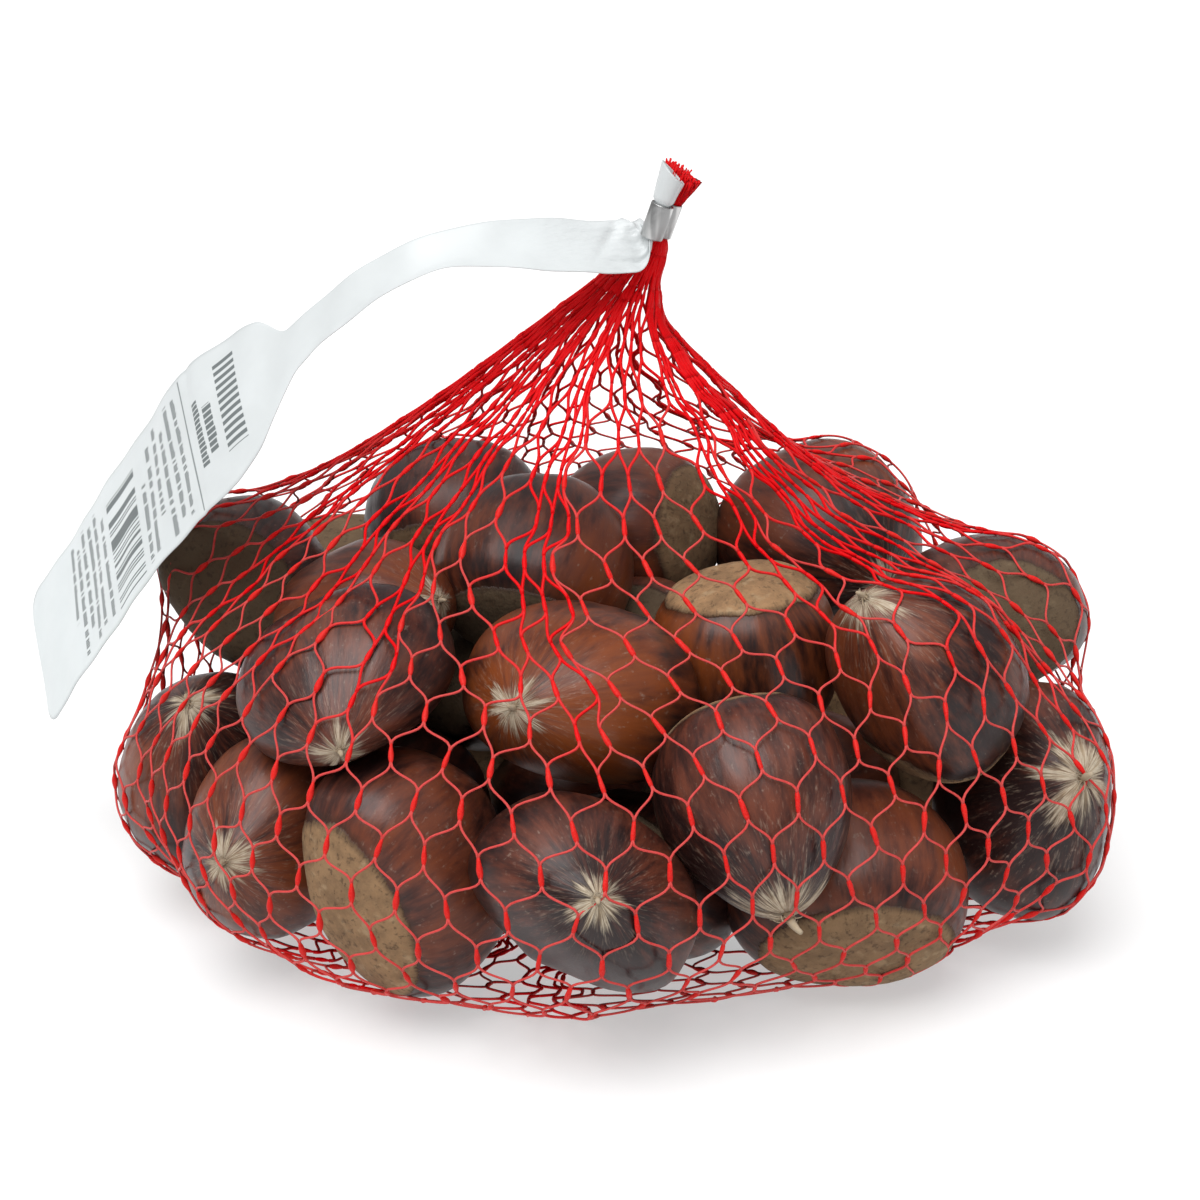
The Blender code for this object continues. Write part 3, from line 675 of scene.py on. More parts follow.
NET_ROUNDS = 900
NET_REST, NET_PULL = 0.80, 0.02          # length a strand draws towards, as a share of its own, and how hard
HOOP_AT, HOOP_PULL = (0, 10, 54, 66), (0.06, 0.0, 0.0, 0.012)   # heights, and how hard a row draws together
BUNCHING = 0.9                           # how unevenly a row draws its columns together
WEIGHT, DRIFT = 0.005, 0.009             # each round's sag, and its shift to the left
DRIFT_AT = (60, 72, 104, 111)            # heights between which the net shifts
UNEVEN = 0.07                            # spread of the strands' lengths
KNOT_CLEAR, YARN_CLEAR = 0.50, 0.26      # distance of their middles from a shell
KNOT_RINGS, YARN_POINTS = 7, 9           # rings along a knot, points along a yarn
YARN_SIDES, KNOT_SIDES = 5, 8
KNOT_REACH, KNOT_SWELL = 1.30, 2.45      # drawn length as a share of the settled one, and girth in yarns
KNOT_END, KNOT_FLAT = 0.42, 0.86         # the girth of its ends and its depth, as shares of that girth
PLAIT, PLAIT_TURN = 0.20, 5.2            # how far a knot's two yarns bulge, and turn round each other
TIGHT_FROM, TIGHT_RANGE = 8.0, 5.0       # gap at which the yarns begin to bunch, and how soon they do
STRAND_SWING = 1.1                       # how far a yarn follows its knot before it turns
GROUND, NUT_MOST = 0.30, 25.0            # lowest height of a yarn, and the most that a shell reaches
GATHER_AT, HEART = (0.0, 2.0, 0.0), (2.0, 2.0, 30.0)        # middle of the net's bottom, and of the bag
GATHER_RING, GATHER_RISE = 7.0, 0.5      # the drawn-together bottom under the heap
GATHER_RINGS = ((0.32, 7.2), (0.5, 7.6), (0.9, 6.8), (1.15, 3.0))        # its height and radius
START_BELOW, HELD_BELOW = 0.3, 0.2       # how far under the clip the net starts, and is held
LEAN_FROM, LEAN_RANGE = 50.0, 62.0       # height from which the net leans over to the neck, and how soon
# Pillow that the net starts from: share of the bag's half size, height
PILLOW = ((0.09, 0.5), (0.80, 0.5), (1.03, 12), (1.06, 36), (0.92, 58), (0.45, 84), (0.02, 111.5))


def push_out(points, clear):
    """Points moved out of the chestnuts along the ray from the chestnut's centre, to that clearance, and
    kept above the ground."""
    shape = points.shape
    points = points.reshape(-1, 3).copy()
    for nut, centre, axes in heap():
        near = np.flatnonzero(np.abs(points - centre).max(1) < NUT_MOST)
        if not len(near):
            continue
        q = (points[near] - centre) @ axes.T
        far = np.linalg.norm(q, axis=1)
        rise = tip_rise(np.arccos(np.clip(q[:, 2] / np.maximum(far, 1e-6), -1, 1)), nut[10])
        grow = rise / nut_gauge(q, *nut[4:7]) + clear / np.maximum(far, 1e-6)
        q *= np.maximum(grow, 1)[:, None]
        points[near] = q @ axes + centre
    points[:, 2] = np.maximum(points[:, 2], GROUND)
    return points.reshape(shape)


def neighbours(rows, columns):
    """For every knot below the last row, which knot of the next row its right and left strands reach: odd
    rows stand half a mesh to the right."""
    row, column = np.meshgrid(np.arange(rows - 1), np.arange(columns), indexing="ij")
    return (column + row % 2) % columns, (column - (row + 1) % 2) % columns


def first_net(rows, columns, knot):
    """Lower and upper ends of the knots on the pillow: height and share of the half size by the length along
    its profile, the middle moving over to the neck."""
    share, height = np.array(PILLOW).T
    half = (BAG_HIGH - BAG_LOW)[:2] / 2
    length = np.concatenate(([0], np.cumsum(np.hypot(np.diff(share) * half.mean(), np.diff(height)))))
    mid = np.linspace(0, length[-1], rows)
    neck = on_clip((*LOBE_OFFSET, -CLIP_LENGTH / 2 - START_BELOW))
    foot = np.array(GATHER_AT)
    angle = (np.arange(columns)[None, :] + 0.5 * (np.arange(rows) % 2)[:, None]) * TURN / columns
    ends = []
    for side in (-0.5, 0.5):
        s = np.clip(mid + side * knot, 0, length[-1])
        level = np.interp(s, length, height)
        reach = np.interp(s, length, share)
        middle = foot + smooth((level - LEAN_FROM) / LEAN_RANGE)[:, None] * (neck - foot) * (1, 1, 0)
        x = middle[:, :1] + (reach * half[0])[:, None] * np.cos(angle)
        y = middle[:, 1:2] + (reach * half[1])[:, None] * np.sin(angle)
        ends.append(np.stack((x, y, level[:, None] + 0 * x), -1))
    return ends


def draw_together(a, b, length, pull, rest):
    """Moves the ends a and b of strands halfway to their greatest length, and softly towards their rest."""
    d = b - a
    far = np.linalg.norm(d, axis=-1, keepdims=True)
    wish = np.where(far > length, far - length, np.maximum(far - rest, 0) * pull)
    step = d / np.maximum(far, 1e-9) * wish / 2
    return a + step, b - step


@functools.lru_cache(maxsize=1)
def relaxed_net():
    """The net drawn tight over the heap: its strands and knots take turns in pulling their ends together,
    and every end is pushed out of the chestnuts. The clip holds the top row, and the gather the bottom
    row."""
    net = bpy.context.scene.netbag_net
    rows, columns, knot, strand = net.rows, net.columns, net.knot / MM, net.strand / MM
    low, high = first_net(rows, columns, knot)
    right, left = neighbours(rows, columns)
    row = np.arange(1, rows)[:, None]
    angle = (np.arange(columns) + 0.5 * ((rows - 1) % 2)) * TURN / columns
    held = np.array((*LOBE_OFFSET, -CLIP_LENGTH / 2 - HELD_BELOW))
    neck = on_clip(held + circle(angle) * HELD_RADIUS)
    foot = circle(np.arange(columns) * TURN / columns) * GATHER_RING + GATHER_AT + (0, 0, GATHER_RISE)
    rng = np.random.default_rng(11)
    stiff = np.clip(rng.lognormal(0, BUNCHING, (1, columns, 1)), 0.25, 4)
    own = [strand * (1 + UNEVEN * np.clip(rng.normal(0, 1, (rows - 1, columns, 1)), -2, 2)) for _ in range(2)]
    for turn in range(NET_ROUNDS // (1)):
        for ends, length in zip((right, left), own):
            a, b = draw_together(high[:-1], low[row, ends], length, NET_PULL, length * NET_REST)
            high[:-1] = a
            low[row, ends] = b
        level = (low + high)[..., 2:] / 2
        hoop = np.interp(level, HOOP_AT, HOOP_PULL)
        hang = np.interp(level, DRIFT_AT, (0, 1, 1, 0)) * (-DRIFT, 0, 0) + (0, 0, -WEIGHT)
        for ends in (low, high):
            after = stiff * (np.roll(ends, -1, 1) - ends)
            ends += hoop * (after - np.roll(after, 1, 1)) + hang
        middle, d = (low + high) / 2, high - low
        d = d / np.maximum(np.linalg.norm(d, axis=-1, keepdims=True), 1e-9) * knot / 2
        low, high = middle - d, middle + d
        if turn % 2:
            both = push_out(np.stack((low, high)), KNOT_CLEAR)
            low, high = both[0], both[1]
        high[-1], low[0] = neck, foot
    return low, high


def strand_paths(low, high, ends):
    """S-shaped yarns from the upper end of each knot to the lower end of the knot above: cubic curves whose
    ends follow the knots, pushed out of the shells."""
    row = np.arange(1, len(low))[:, None]
    a, b = high[:-1], low[row, ends]
    start, stop = unit(high - low)[:-1], unit(high - low)[row, ends]
    far = np.linalg.norm(b - a, axis=-1, keepdims=True)
    t = np.linspace(0, 1, YARN_POINTS)[:, None, None, None]
    pull = STRAND_SWING * far
    path = ((2 * t ** 3 - 3 * t ** 2 + 1) * a + (t ** 3 - 2 * t ** 2 + t) * pull * start
            + (3 * t ** 2 - 2 * t ** 3) * b + (t ** 3 - t ** 2) * pull * stop)
    path = np.moveaxis(path, 0, 2).reshape(-1, YARN_POINTS, 3)
    return push_out(path, YARN_CLEAR)


def spacing(low):
    """How drawn together the net is at each knot, from 0 on the heap to 1 at the neck."""
    gap = np.linalg.norm(np.roll(low, -1, 1) - low, axis=-1)
    return smooth((TIGHT_FROM - gap) / TIGHT_RANGE)


def yarn_material(name, net, knots):
    """Knitted plastic yarn: bright and translucent where single, deep red where drawn together, with fine
    filaments along it, and pale streaks along the filaments painted on as highlights."""
    p = Paint(name, Roughness=0.42, Specular_IOR_Level=0.10)
    tight = p.attribute("tight")
    along, around = p.attribute("along"), p.attribute("around")
    filament = p.noise(p.join(around * 3.0, along * (0.9 if knots else 0.5), tight), 2.2, 2.0)
    speck = p.noise(p.place(), 900.0, 2.0)
    # Painted highlights: pale streaks along the filaments, fainter on the knots than on single yarns.
    pale = p.mix(filament.rise(0.35, 0.7) * (0.12 if knots else 0.30), net.deep if knots else net.colour,
                 (0.74, 0.12, 0.11))
    colour = p.mix(tight, pale, (0.62, 0.0005, 0.003))
    colour = p.mix(speck.rise(0.58, 0.75) * 0.3, colour, (0.40, 0.001, 0.002))
    return p.finish(Base_Color=colour, Normal=p.bump(filament, 0.00008, 0.8))


def add_yarns(name, paths, radii, out, tight, material, sides, squash=1.0, twist=None):
    """Joined tubes with how tight the net is there, the distance along and the way round as attributes."""
    count, steps = paths.shape[:2]
    points, faces = tubes(paths, radii, sides, out, squash, twist)
    along = np.tile(np.repeat(np.linspace(0, 7, steps), sides), count)
    along += per_point(np.arange(count) * 3.7, steps, sides)
    around = np.tile(np.arange(sides) / sides, count * steps)
    attributes = {"tight": per_point(tight, steps, sides), "along": along, "around": around}
    return add_piece(name, points, faces, material, "net_red", attributes)


def outward(points):
    """Direction away from the bag's heart, level at the sides and up on top."""
    return unit(points - np.array(HEART))


class NETBAG_OT_net(Operator):
    """Makes the knitted net: right-hand yarns, left-hand yarns and knots"""
    bl_idname = "netbag.net"
    bl_label = "Net"

    def execute(self, context):
        net = context.scene.netbag_net
        low, high = relaxed_net()
        for piece in (*self.yarns(net, low, high), self.knots(net, low, high)):
            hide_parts("net_bag")
        return {"FINISHED"}

    def yarns(self, net, low, high):
        """Single yarns, a little thicker at their ends and where the net is drawn together."""
        tight = spacing(low)
        material = yarn_material("net_yarn", net, False)
        for name, ends in zip(("net_right_yarns", "net_left_yarns"), neighbours(*low.shape[:2])):
            paths = strand_paths(low, high, ends)
            share = (tight[:-1] / 2 + tight[np.arange(1, len(low))[:, None], ends] / 2).ravel()
            t = np.linspace(-1, 1, paths.shape[1])
            radii = net.yarn / MM / 2 * (1 + 0.22 * t ** 2)[None, :] * (1 + 0.35 * share)[:, None]
            out = outward(paths.mean(1))[:, None]
            yield add_yarns(name, paths, radii, out, share, material, YARN_SIDES)

    def knots(self, net, low, high):
        """Knots, thickest in the middle by a parabola and slimmer where the net is drawn together."""
        t = np.linspace(-1, 1, KNOT_RINGS)[None, :, None]
        middle, arm = ((low + high) / 2).reshape(-1, 1, 3), ((high - low) / 2).reshape(-1, 1, 3)
        paths = middle + arm * t * KNOT_REACH
        share = spacing(low).ravel()
        swell = KNOT_END + (1 - KNOT_END) * (1 - t[0, :, 0] ** 2)
        radii = net.yarn / MM / 2 * KNOT_SWELL * swell[None, :] * (1 - 0.22 * share)[:, None]
        radii *= np.random.default_rng(7).uniform(0.85, 1.15, (len(share), 1))

        def plait(angle):
            """Two yarns laid round each other: the ring bulges on two sides that turn along the knot."""
            twist = np.linspace(0, PLAIT_TURN, KNOT_RINGS)[None, :, None]
            return 1 + PLAIT * np.cos(2 * angle[None, None, :] - twist)

        material = yarn_material("net_knot", net, True)
        return add_yarns("net_knots", paths, radii, outward(middle), share, material, KNOT_SIDES, KNOT_FLAT,
                         plait)


# Neck, cut tuft and bottom gather

def fluted(centres, radii, frame_rows, sides, flutes, depth, seed):
    """Closed rings along a line, their radius waved by a sum of cosines like bunched yarn: a loft with an end
    face at both ends."""
    rng = np.random.default_rng(seed)
    angle = np.linspace(0, TURN, sides, endpoint=False)
    wave = sum(np.cos(k * angle + rng.uniform(0, TURN)) for k in flutes) / len(flutes)
    level = np.linspace(0, 1, len(radii))[:, None]
    twist = 1 + depth * (wave + 0.4 * np.cos(5 * angle + 3 * level + rng.uniform(0, TURN)))
    ring = np.asarray(radii)[:, None] * twist
    points = (np.asarray(centres)[:, None] + (ring * np.cos(angle))[..., None] * frame_rows[0]
              + (ring * np.sin(angle))[..., None] * frame_rows[1])
    faces = [grid_faces(len(radii), sides, True), np.arange(sides)[None, ::-1],
             np.arange(sides)[None] + (len(radii) - 1) * sides]
    return points.reshape(-1, 3), faces


def bunch_material():
    """Bunched yarn seen as a mass: deep red, with painted shade darkening the grooves along it."""
    p = Paint("net_bunch", Roughness=0.5, Specular_IOR_Level=0.10)
    own = p.place()
    grain = p.noise(p.join(p.split(own, 0), p.split(own, 1), p.split(own, 2) * 0.12), 1500.0, 3.0)
    # Painted shade: the red is darker where the grain sinks in the bump, in the grooves between the yarns.
    colour = p.mix(grain.rise(0.35, 0.65), (0.34, 0.0005, 0.002), (0.64, 0.001, 0.004))
    return p.finish(Base_Color=colour, Normal=p.bump(grain, 0.0003))


class NETBAG_OT_neck(Operator):
    """Makes the bunched neck under the clip, the cut tuft above it and the gathered bottom"""
    bl_idname = "netbag.neck"
    bl_label = "Neck and tuft"

    def execute(self, context):
        bunch = bunch_material()
        rows = clip_frame()
        up, radii = np.array(NECK).T
        sag = np.clip(NECK_STRAIGHT - up, 0, None) * NECK_SAG
        centres = on_clip(np.stack((LOBE_OFFSET[0] - sag, LOBE_OFFSET[1] + 0 * up, up), -1))
        neck = fluted(centres, radii, rows, 60, (14, 19, 23), 0.16, 3)
        pieces = [add_piece("neck_bunch", *neck, bunch, "net_red")]
        up, radii, away = np.array(TUFT).T
        up = np.minimum(up, CORE_TOP) - CORE_BELOW
        inner = np.stack((LOBE_OFFSET[0] + away * TUFT_LEAN, LOBE_OFFSET[1] + away, up), -1)
        core = fluted(on_clip(inner), radii * CORE_SHARE, rows, 72, (17, 23, 29), 0.22, 5)
        pieces.append(add_piece("tuft_bunch", *core, bunch, "net_red"))
        pieces.append(self.loose_ends(context.scene.netbag_net, rows))
        up, radii = np.array(GATHER_RINGS).T
        centres = np.array(GATHER_AT) + np.stack((0 * up, 0 * up, up), -1)
        gather = fluted(centres, radii, np.eye(3), 72, (18, 27, 31), 0.05, 8)
        pieces.append(add_piece("bottom_gather", *gather, bunch, "net_red"))
        for piece in pieces:
            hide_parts("net_bag")
        return {"FINISHED"}

    def loose_ends(self, net, rows):
        """Cut yarn ends: curves that leave the bore side by side and flare, each bent its own way."""
        rng = np.random.default_rng(21)
        count, steps = CUT_ENDS, 9
        turn = rng.uniform(0, TURN, (count, 1))
        share = np.sqrt(rng.uniform(0.02, 1, (count, 1)))
        t = np.linspace(0, 1, steps)[None, :]
        top = rng.uniform(*CUT_TOP, (count, 1)) - CUT_SLOPE * share * np.cos(turn)
        up = CUT_FROM + (top - CUT_FROM) * t
        flare = np.interp(up, [s[0] for s in TUFT], [s[1] for s in TUFT])
        away = np.interp(up, [s[0] for s in TUFT], [s[2] for s in TUFT])
        curl = rng.normal(0, CUT_CURL, (2, count, 1)) * t ** 2
        curl += rng.normal(0, CUT_SWAY, (2, count, 1)) * np.sin(5 * t)
        x = LOBE_OFFSET[0] + away * TUFT_LEAN + share * flare * np.cos(turn) + curl[0] * t
        y = LOBE_OFFSET[1] + away + share * flare * np.sin(turn) + curl[1] * t
        paths = on_clip(np.stack((x, y, up), -1))
        radii = net.yarn / MM / 2 * rng.uniform(0.55, 0.9, (count, 1)) * (1 - 0.15 * t)
        out = np.broadcast_to(rows[1] + 0.13 * rows[0], (count, 1, 3))
        material = yarn_material("tuft_yarn", net, True)
        return add_yarns("tuft_ends", paths, radii, out, np.full(count, 0.9), material, 6)


# Clip

def clip_line():
    """Middle line of the crimped band, seen along the clip's axis: in from the middle of one lobe, round it,
    across to the other lobe, round that and in again. Both lobes are arcs about their own centres."""
    middle = (LOBE_RADIUS + BORE_RADIUS) / 2
    across = unit(np.array(LOBE_OFFSET))
    side = np.array((across[1], -across[0]))
    spread = np.linalg.norm(LOBE_OFFSET)
    angle = np.linspace(*np.radians(LOBE_ARC), LOBE_POINTS)
    reach = middle * (1 - CURL_IN * smooth((CURL_FROM - angle) / CURL_OVER))
    arc = np.stack((reach * np.cos(angle), reach * np.sin(angle)), -1)
    lobe = arc[:, :1] * across + arc[:, 1:] * side + across * spread
    other = lobe @ (np.outer(side, side) - np.outer(across, across))
    return np.concatenate((lobe, other[::-1]))


def metal_material(clip):
    """Drawn aluminium with fine lines along the clip, dark bands along it painted on as reflections, and a
    little dulling.
    """
    p = Paint("clip_metal", Metallic=1.0)
    own = p.place()
    lines = p.noise(p.join(p.split(own, 0), p.split(own, 1), p.split(own, 2) * 0.05), 2600.0, 2.0)
    painted_reflection_bands = p.noise(p.join(p.split(own, 0), p.split(own, 1), p.split(own, 2) * 0.03), 700.0, 1.0)
    dull = p.noise(own, 500.0, 3.0)
    # Painted reflections: dark bands along the clip's axis, mixed into the metal's colour.
    colour = p.mix(painted_reflection_bands.rise(0.42, 0.60), (0.30, 0.30, 0.30), clip.metal)
    colour = p.mix(dull.rise(0.5, 0.75) * 0.4, colour, (0.62, 0.62, 0.62))
    return p.finish(Base_Color=colour, Roughness=0.26 + dull * 0.25, Normal=p.bump(lines, 0.00006, 0.7))


class NETBAG_OT_clip(Operator):
    """Makes the crimped band clip with its two lobes"""
    bl_idname = "netbag.clip"
    bl_label = "Clip"

    def execute(self, context):
        clip = context.scene.netbag_clip
        half = clip.wall / MM / 2
        line = clip_line()
        way = unit(np.gradient(line, axis=0))
        side = np.stack((way[:, 1], -way[:, 0]), -1)
        tall, corner = CLIP_LENGTH / 2, half * 0.8
        turn = np.linspace(0, math.pi / 2, 4)
        quarter = np.stack((half - corner + corner * np.cos(turn), tall - corner + corner * np.sin(turn)), -1)
        back = quarter[::-1]
        profile = np.concatenate((quarter, back * (-1, 1), quarter * (-1, -1), back * (1, -1)))
        flat = line[:, None] + side[:, None] * profile[None, :, :1]
        up = np.broadcast_to(profile[None, :, 1:], (*flat.shape[:2], 1))
        points = on_clip(np.concatenate((flat, up), -1))
        rows, columns = flat.shape[:2]
        faces = [grid_faces(rows, columns, True)[:, ::-1], np.arange(columns)[None],
                 np.arange(columns)[None, ::-1] + (rows - 1) * columns]
        piece = add_piece("clip_band", points, faces, metal_material(clip), "clip_metal")
        piece.data.set_sharp_from_angle(angle=math.radians(50))
        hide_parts("clip")
        return {"FINISHED"}


# Label

def band_frame():
    """The level start direction of the band, the way it bends, and the direction across it, towards its
    lower edge."""
    out = np.array((-math.cos(BAND_YAW), -math.sin(BAND_YAW), 0))
    front = np.array((math.sin(BAND_YAW), -math.cos(BAND_YAW), 0))
    across = math.sin(BAND_TILT) * front + math.cos(BAND_TILT) * np.array((0, 0, -1))
    return out, np.cross(across, out), across


def softened(table, s, reach=1.2):
    """A table read with its corners rounded: the mean of readings a little before and after."""
    place, value = np.array(table, float).T
    return sum(np.interp(s + d, place, value) for d in np.linspace(-reach, reach, 9)) / 9


def strip_halves(s):
    """Half widths above and below the centre line, rounded in at the free end's corners."""
    into = np.clip(s - (BAND_LENGTH + TAG_LENGTH - TAG_CORNER), 0, TAG_CORNER)
    corner = TAG_CORNER - np.sqrt(TAG_CORNER ** 2 - into ** 2)
    return softened(UPPER_HALF, s) - corner, softened(LOWER_HALF, s) - corner


def strip_centre(s):
    """The strip's centre line: its direction turns from the level start by the bend, and is summed up."""
    fine = np.arange(0, BAND_LENGTH + TAG_LENGTH + 0.5, 0.5)
    bend = np.radians(softened(BEND, fine, 2.0))
    out, down, _ = band_frame()
    way = np.outer(np.cos(bend), out) + np.outer(np.sin(bend), down)
    line = np.array(BAND_START) + np.concatenate(([[0, 0, 0]], np.cumsum((way[1:] + way[:-1]) / 4, 0)))
    return np.stack([np.interp(s, fine, line[:, k]) for k in range(3)], -1)


def gather_centre(t):
    """Centre line from inside the front lobe round to the band: a curve with one control point."""
    start = on_clip((-LOBE_OFFSET[0], -LOBE_OFFSET[1], -CLIP_LENGTH / 2 + 0.6))
    low, end = np.array(GATHER_LOW), np.array(BAND_START)
    t = t[:, None]
    return (1 - t) ** 2 * start + 2 * t * (1 - t) * low + t * t * end


def film_shell(grid, normal, thickness):
    """A closed sheet: the grid moved half its thickness to either side, joined round its rim."""
    rows, columns = grid.shape[:2]
    points = np.concatenate(((grid + normal * thickness / 2).reshape(-1, 3),
                             (grid - normal * thickness / 2).reshape(-1, 3)))
    count = rows * columns
    top = grid_faces(rows, columns)
    index = np.arange(count).reshape(rows, columns)
    rim = np.concatenate((index[0, :-1], index[:-1, -1], index[-1, :0:-1], index[:0:-1, 0]))
    after = np.roll(rim, -1)
    side = np.stack((rim, rim + count, after + count, after), -1)
    return points, [top, top[:, ::-1] + count, side]


def strip_grid():
    """The film's surface: a ruled strip along its centre line, with pleats that run out from the clip, a
    slight curl of its edges, soft waves and the crease across the tag."""
    t = np.linspace(0, 1, 15)[:-1]
    end = BAND_LENGTH + TAG_LENGTH
    s = np.concatenate((np.arange(0, end - TAG_CORNER, 0.7),
                        end - TAG_CORNER + TAG_CORNER * np.sin(np.linspace(0, math.pi / 2, 9))))
    centre = np.concatenate((gather_centre(t), strip_centre(s)))
    upper, lower = strip_halves(s)
    upper = np.concatenate((HELD_RADIUS + (upper[0] - HELD_RADIUS) * smooth((t + 0.06) / 0.40), upper))
    lower = np.concatenate((HELD_RADIUS + (lower[0] - HELD_RADIUS) * t, lower))
    along = np.concatenate(((t - 1) * GATHER * 0.6, s))
    way = unit(np.gradient(centre, axis=0))
    _, _, across = band_frame()
    across = np.broadcast_to(across, way.shape)
    normal = unit(np.cross(way, across))
    v = np.linspace(-1, 1, 33)[None, :]
    c = np.where(v < 0, v * upper[:, None], v * lower[:, None])
    a = along[:, None]
    # Pleats that fade out along the band
    pleat = np.clip(1 - (a + 4) / 17, 0, 1) ** 1.6
    lift = 0.35 * pleat * np.sin(7.5 * v + 0.7 + 0.05 * a) + 0.16 * pleat * np.sin(17 * v + 2.1)
    # A ridge and a groove that run out of the clip
    tall, wide, slope = RIDGE
    ridge = tall * np.exp(-np.abs(c + FOLD_EDGE + slope * a) / wide)
    lift += ridge * smooth((a + 6) / 2) * smooth((9 - a) / 6)
    tall, wide, slope = GROOVE
    groove = tall * np.exp(-((c + FOLD_EDGE + slope * a) / wide) ** 2)
    lift -= groove * smooth((a + 1) / 2) * smooth((8 - a) / 6)
    # The band's edges curl up, and slow waves run along the strip
    lift += 0.55 * (v ** 2 - 0.35) * smooth((a - 4) / 10) * smooth((62 - a) / 20)
    lift += 0.22 * np.sin(0.19 * a + 1.1 * v) * smooth(a / 12) + 0.10 * np.sin(0.55 * a - 2.3 * v)
    # The tag is crowned up to its crease, and twists beyond it
    lift += 0.9 * (0.35 - v ** 2) * smooth((a - 66) / 12) * smooth((CREASE - a) / 14)
    lift += 0.7 * v * smooth((a - CREASE) / 15) * np.sin(0.045 * (a - CREASE))
    lift -= 0.25 * np.exp(-((a - CREASE - 0.10 * c) / 0.9) ** 2)
    grid = centre[:, None] + across[:, None] * c[..., None] + normal[:, None] * lift[..., None]
    normals = unit(np.cross(np.gradient(grid, axis=0), np.gradient(grid, axis=1)))
    return grid, normals, np.broadcast_to(a, c.shape), c


def film_material(label):
    """White film with plain grey print: a heading of bars, a rule, rows of dashes and a block of stripes."""
    p = Paint("label_film", Roughness=0.38, Specular_IOR_Level=0.4)
    s, c, face = p.attribute("along"), p.attribute("across"), p.attribute("face")

    def inside(value, low, high, soft=0.08):
        return value.rise(low - soft, low + soft) * value.rise(high + soft, high - soft)

    def dashes(start, tall, low, high, cell, seed, gap=0.30):
        """One row of dashes: cells across the tag, some left blank, each a little uneven."""
        step = (c / cell + seed * 3.7).floor()
        shown = p.dice(p.join(step, seed, 0.0)).above(gap)
        uneven = p.dice(p.join(step, seed, 5.0)) * 0.35
        mark = inside((c / cell + seed * 3.7).part(), 0.10, 0.86, 0.08)
        return inside(s, start + uneven, start + tall) * inside(c, low, high) * mark * shown

    def field(start, end, low, high):
        return inside(s, start, end) * inside(c, low, high)

    marks = field(*HEADING) * inside((c / 1.45).part(), 0.12, 0.66, 0.05)
    for row in SUBHEADS:
        marks = marks + dashes(*row)
    rule = inside(s, CREASE + 1.0, CREASE + 1.35, 0.06) * inside(c, -13.2, 13.2)
    for k, (start, low, high) in enumerate(PRINT_ROWS):
        marks = marks + dashes(start, 1.35, low, high, 0.46, 4 + k, 0.22)
    stripe = p.dice(p.join((c / 0.31).floor(), 91.0, 0.0)).above(0.46)
    bars = field(*BARS) * stripe
    shown = (marks + bars * 1.15 + rule * 0.8).least(1.0) * face
    grey = p.noise(p.place(), 160.0, 3.0)
    film = p.mix(grey.rise(0.3, 0.7), label.film, tuple(0.955 * x for x in label.film))
    film = p.mix(s.rise(60, 148) * 0.22, film, (0.68, 0.75, 0.76))
    colour = p.mix(shown * 0.9, film, label.ink)
    wrinkle = p.noise(p.join(s * 0.35, c * 0.9, 0.0), 1.3, 3.0)
    height = wrinkle * s.rise(22, 4) + p.noise(p.place(), 420.0, 2.0) * 0.10
    return p.finish(Base_Color=colour, Roughness=0.34 + shown * 0.2, Normal=p.bump(height, 0.0005, 0.55))


def roll_grid():
    """The rolled end of the film: a spiral seen along the clip's axis, carried up it, cut obliquely at the
    top and drawn in where the clip holds it."""
    up = np.array(ROLL_HEIGHTS)
    radius = np.interp(up, (2.7, 3.3, ROLL_TOP), (HELD_RADIUS, 0.74 * ROLL_RADIUS, ROLL_RADIUS))
    turn = np.linspace(0, TURN * ROLL_TURNS, 60)
    shrink = np.linspace(1.0, ROLL_INNER, 60)
    crush = 1 + 0.06 * np.sin(3 * turn + 0.6) + 0.04 * np.sin(5 * turn)
    x = radius[:, None] * shrink * crush * np.cos(turn + ROLL_START)
    y = radius[:, None] * shrink * crush * np.sin(turn + ROLL_START)
    z = up[:, None] - ROLL_SLOPE * x * smooth((up[:, None] - 4.0) / 4.0)
    grid = on_clip(np.stack((x - LOBE_OFFSET[0], y - LOBE_OFFSET[1], z), -1))
    normal = unit(np.cross(np.gradient(grid, axis=0), np.gradient(grid, axis=1)))
    return grid, normal


class NETBAG_OT_label(Operator):
    """Makes the label: the film strip with its print, and its rolled end in the clip"""
    bl_idname = "netbag.label"
    bl_label = "Label"

    def execute(self, context):
        label = context.scene.netbag_label
        film = film_material(label)
        grid, normal, along, across = strip_grid()
        thickness = label.thickness / MM
        points, faces = film_shell(grid, normal, thickness)
        face = np.repeat((1.0, 0.0), along.size)
        attributes = {"along": np.tile(along.ravel(), 2), "across": np.tile(across.ravel(), 2), "face": face}
        strip = add_piece("label_strip", points, faces, film, "label_film", attributes)
        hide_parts("label")
        grid, normal = roll_grid()
        points, faces = film_shell(grid, normal, thickness)
        none = np.zeros(len(points))
        attributes = {"along": none, "across": none, "face": none}
        roll = add_piece("label_roll", points, faces, film, "label_film", attributes)
        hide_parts("label")
        return {"FINISHED"}


# Stage

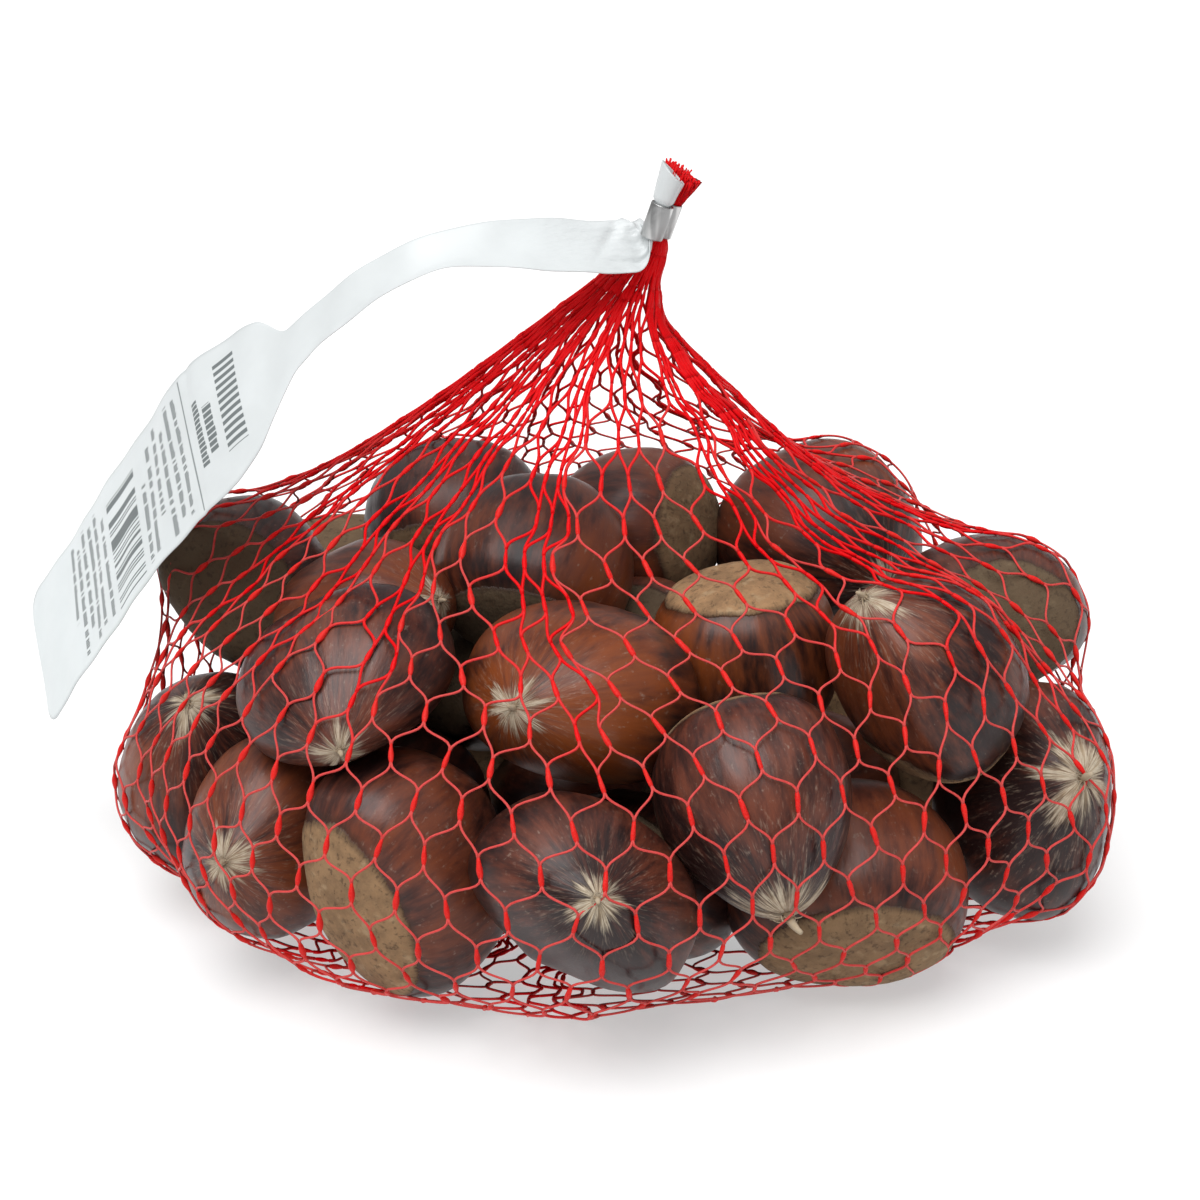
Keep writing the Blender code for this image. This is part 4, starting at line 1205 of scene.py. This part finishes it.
class NETBAG_OT_stage(Operator):
    """Makes the floor, the soft light and the camera"""
    bl_idname = "netbag.stage"
    bl_label = "Stage"

    def execute(self, context):
        stage = context.scene.netbag_stage
        scene = context.scene
        scene.view_settings.view_transform = "Standard"
        mesh = bpy.data.meshes.new("floor")
        corners = [(x * FLOOR_HALF, y * FLOOR_HALF, 0) for x, y in ((-1, -1), (1, -1), (1, 1), (-1, 1))]
        mesh.from_pydata(corners, [], [(0, 1, 2, 3)])
        paint = Paint("floor_white", Base_Color=tuple(stage.floor), Roughness=0.95, Specular_IOR_Level=0.0,
                      Emission_Color=(1.0, 1.0, 1.0), Emission_Strength=stage.glow)
        mesh.materials.append(paint.finish())
        floor = bpy.data.objects.new("floor", mesh)
        scene.collection.objects.link(floor)
        scene.world = self.sky(stage.sky)
        data = bpy.data.lights.new("key_light", "SUN")
        data.energy, data.angle = stage.key, stage.spread
        lamp = bpy.data.objects.new("key_light", data)
        lamp.rotation_euler = Vector(KEY_FROM).to_track_quat("Z", "Y").to_euler()
        scene.collection.objects.link(lamp)
        data = bpy.data.cameras.new("photo_view")
        data.lens, data.sensor_width, data.clip_start = LENS, SENSOR, 0.01
        camera = bpy.data.objects.new("photo_view", data)
        back = np.array((0, -math.cos(VIEW_RISE), math.sin(VIEW_RISE))) * FAR
        camera.location = (np.array(AIM) + back) * MM
        camera.rotation_euler = (math.pi / 2 - VIEW_RISE, 0, 0)
        scene.collection.objects.link(camera)
        scene.camera = camera
        return {"FINISHED"}

    def sky(self, strength):
        """Soft light that is brightest overhead and dim at the horizon: a ramp over the height of the ray."""
        world = bpy.data.worlds.new("soft_studio")
        world.use_nodes = True
        nodes, links = world.node_tree.nodes, world.node_tree.links
        ramp = nodes.new("ShaderNodeMapRange")
        for key, value in enumerate(SKY_RANGE, 1):
            ramp.inputs[key].default_value = value
        split = nodes.new("ShaderNodeSeparateXYZ")
        links.new(nodes.new("ShaderNodeTexCoord").outputs["Generated"], split.inputs[0])
        links.new(split.outputs["Z"], ramp.inputs[0])
        scale = nodes.new("ShaderNodeMath")
        scale.operation = "MULTIPLY"
        scale.inputs[1].default_value = strength
        links.new(ramp.outputs[0], scale.inputs[0])
        nodes["Background"].inputs["Color"].default_value = (1.0, 1.0, 1.0, 1.0)
        links.new(scale.outputs[0], nodes["Background"].inputs["Strength"])
        return world


class NETBAG_PT_panel(Panel):
    """Lists the steps with their settings"""
    bl_idname = "NETBAG_PT_panel"
    bl_label = "Net bag"
    bl_space_type = "VIEW_3D"
    bl_region_type = "UI"
    bl_category = "Net bag"

    def draw(self, context):
        for operator, group in STEPS:
            self.layout.operator(operator.bl_idname)
            if group:
                settings = getattr(context.scene, group)
                for key in settings.bl_rna.properties.keys():
                    if key not in ("rna_type", "name"):
                        self.layout.prop(settings, key)


STEPS = (
    (NETBAG_OT_stage, "netbag_stage"),
    (NETBAG_OT_chestnuts, "netbag_nuts"),
    (NETBAG_OT_tufts, None),
    (NETBAG_OT_net, "netbag_net"),
    (NETBAG_OT_neck, None),
    (NETBAG_OT_clip, "netbag_clip"),
    (NETBAG_OT_label, "netbag_label"),
)
GROUPS = (("netbag_nuts", NETBAG_PG_nuts), ("netbag_net", NETBAG_PG_net), ("netbag_label", NETBAG_PG_label),
          ("netbag_clip", NETBAG_PG_clip), ("netbag_stage", NETBAG_PG_stage))


def register():
    for name, group in GROUPS:
        bpy.utils.register_class(group)
        setattr(bpy.types.Scene, name, PointerProperty(type=group))
    for operator, _ in STEPS:
        bpy.utils.register_class(operator)
    bpy.utils.register_class(NETBAG_PT_panel)


def unregister():
    bpy.utils.unregister_class(NETBAG_PT_panel)
    for operator, _ in STEPS:
        bpy.utils.unregister_class(operator)
    for name, group in GROUPS:
        delattr(bpy.types.Scene, name)
        bpy.utils.unregister_class(group)


def main():
    """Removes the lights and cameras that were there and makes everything."""
    for spare in [obj for obj in bpy.data.objects if obj.type in ("LIGHT", "CAMERA")]:
        bpy.data.objects.remove(spare)
    register()
    for operator, _ in STEPS:
        group, name = operator.bl_idname.split(".")
        getattr(getattr(bpy.ops, group), name)()


if __name__ == "__main__":
    main()
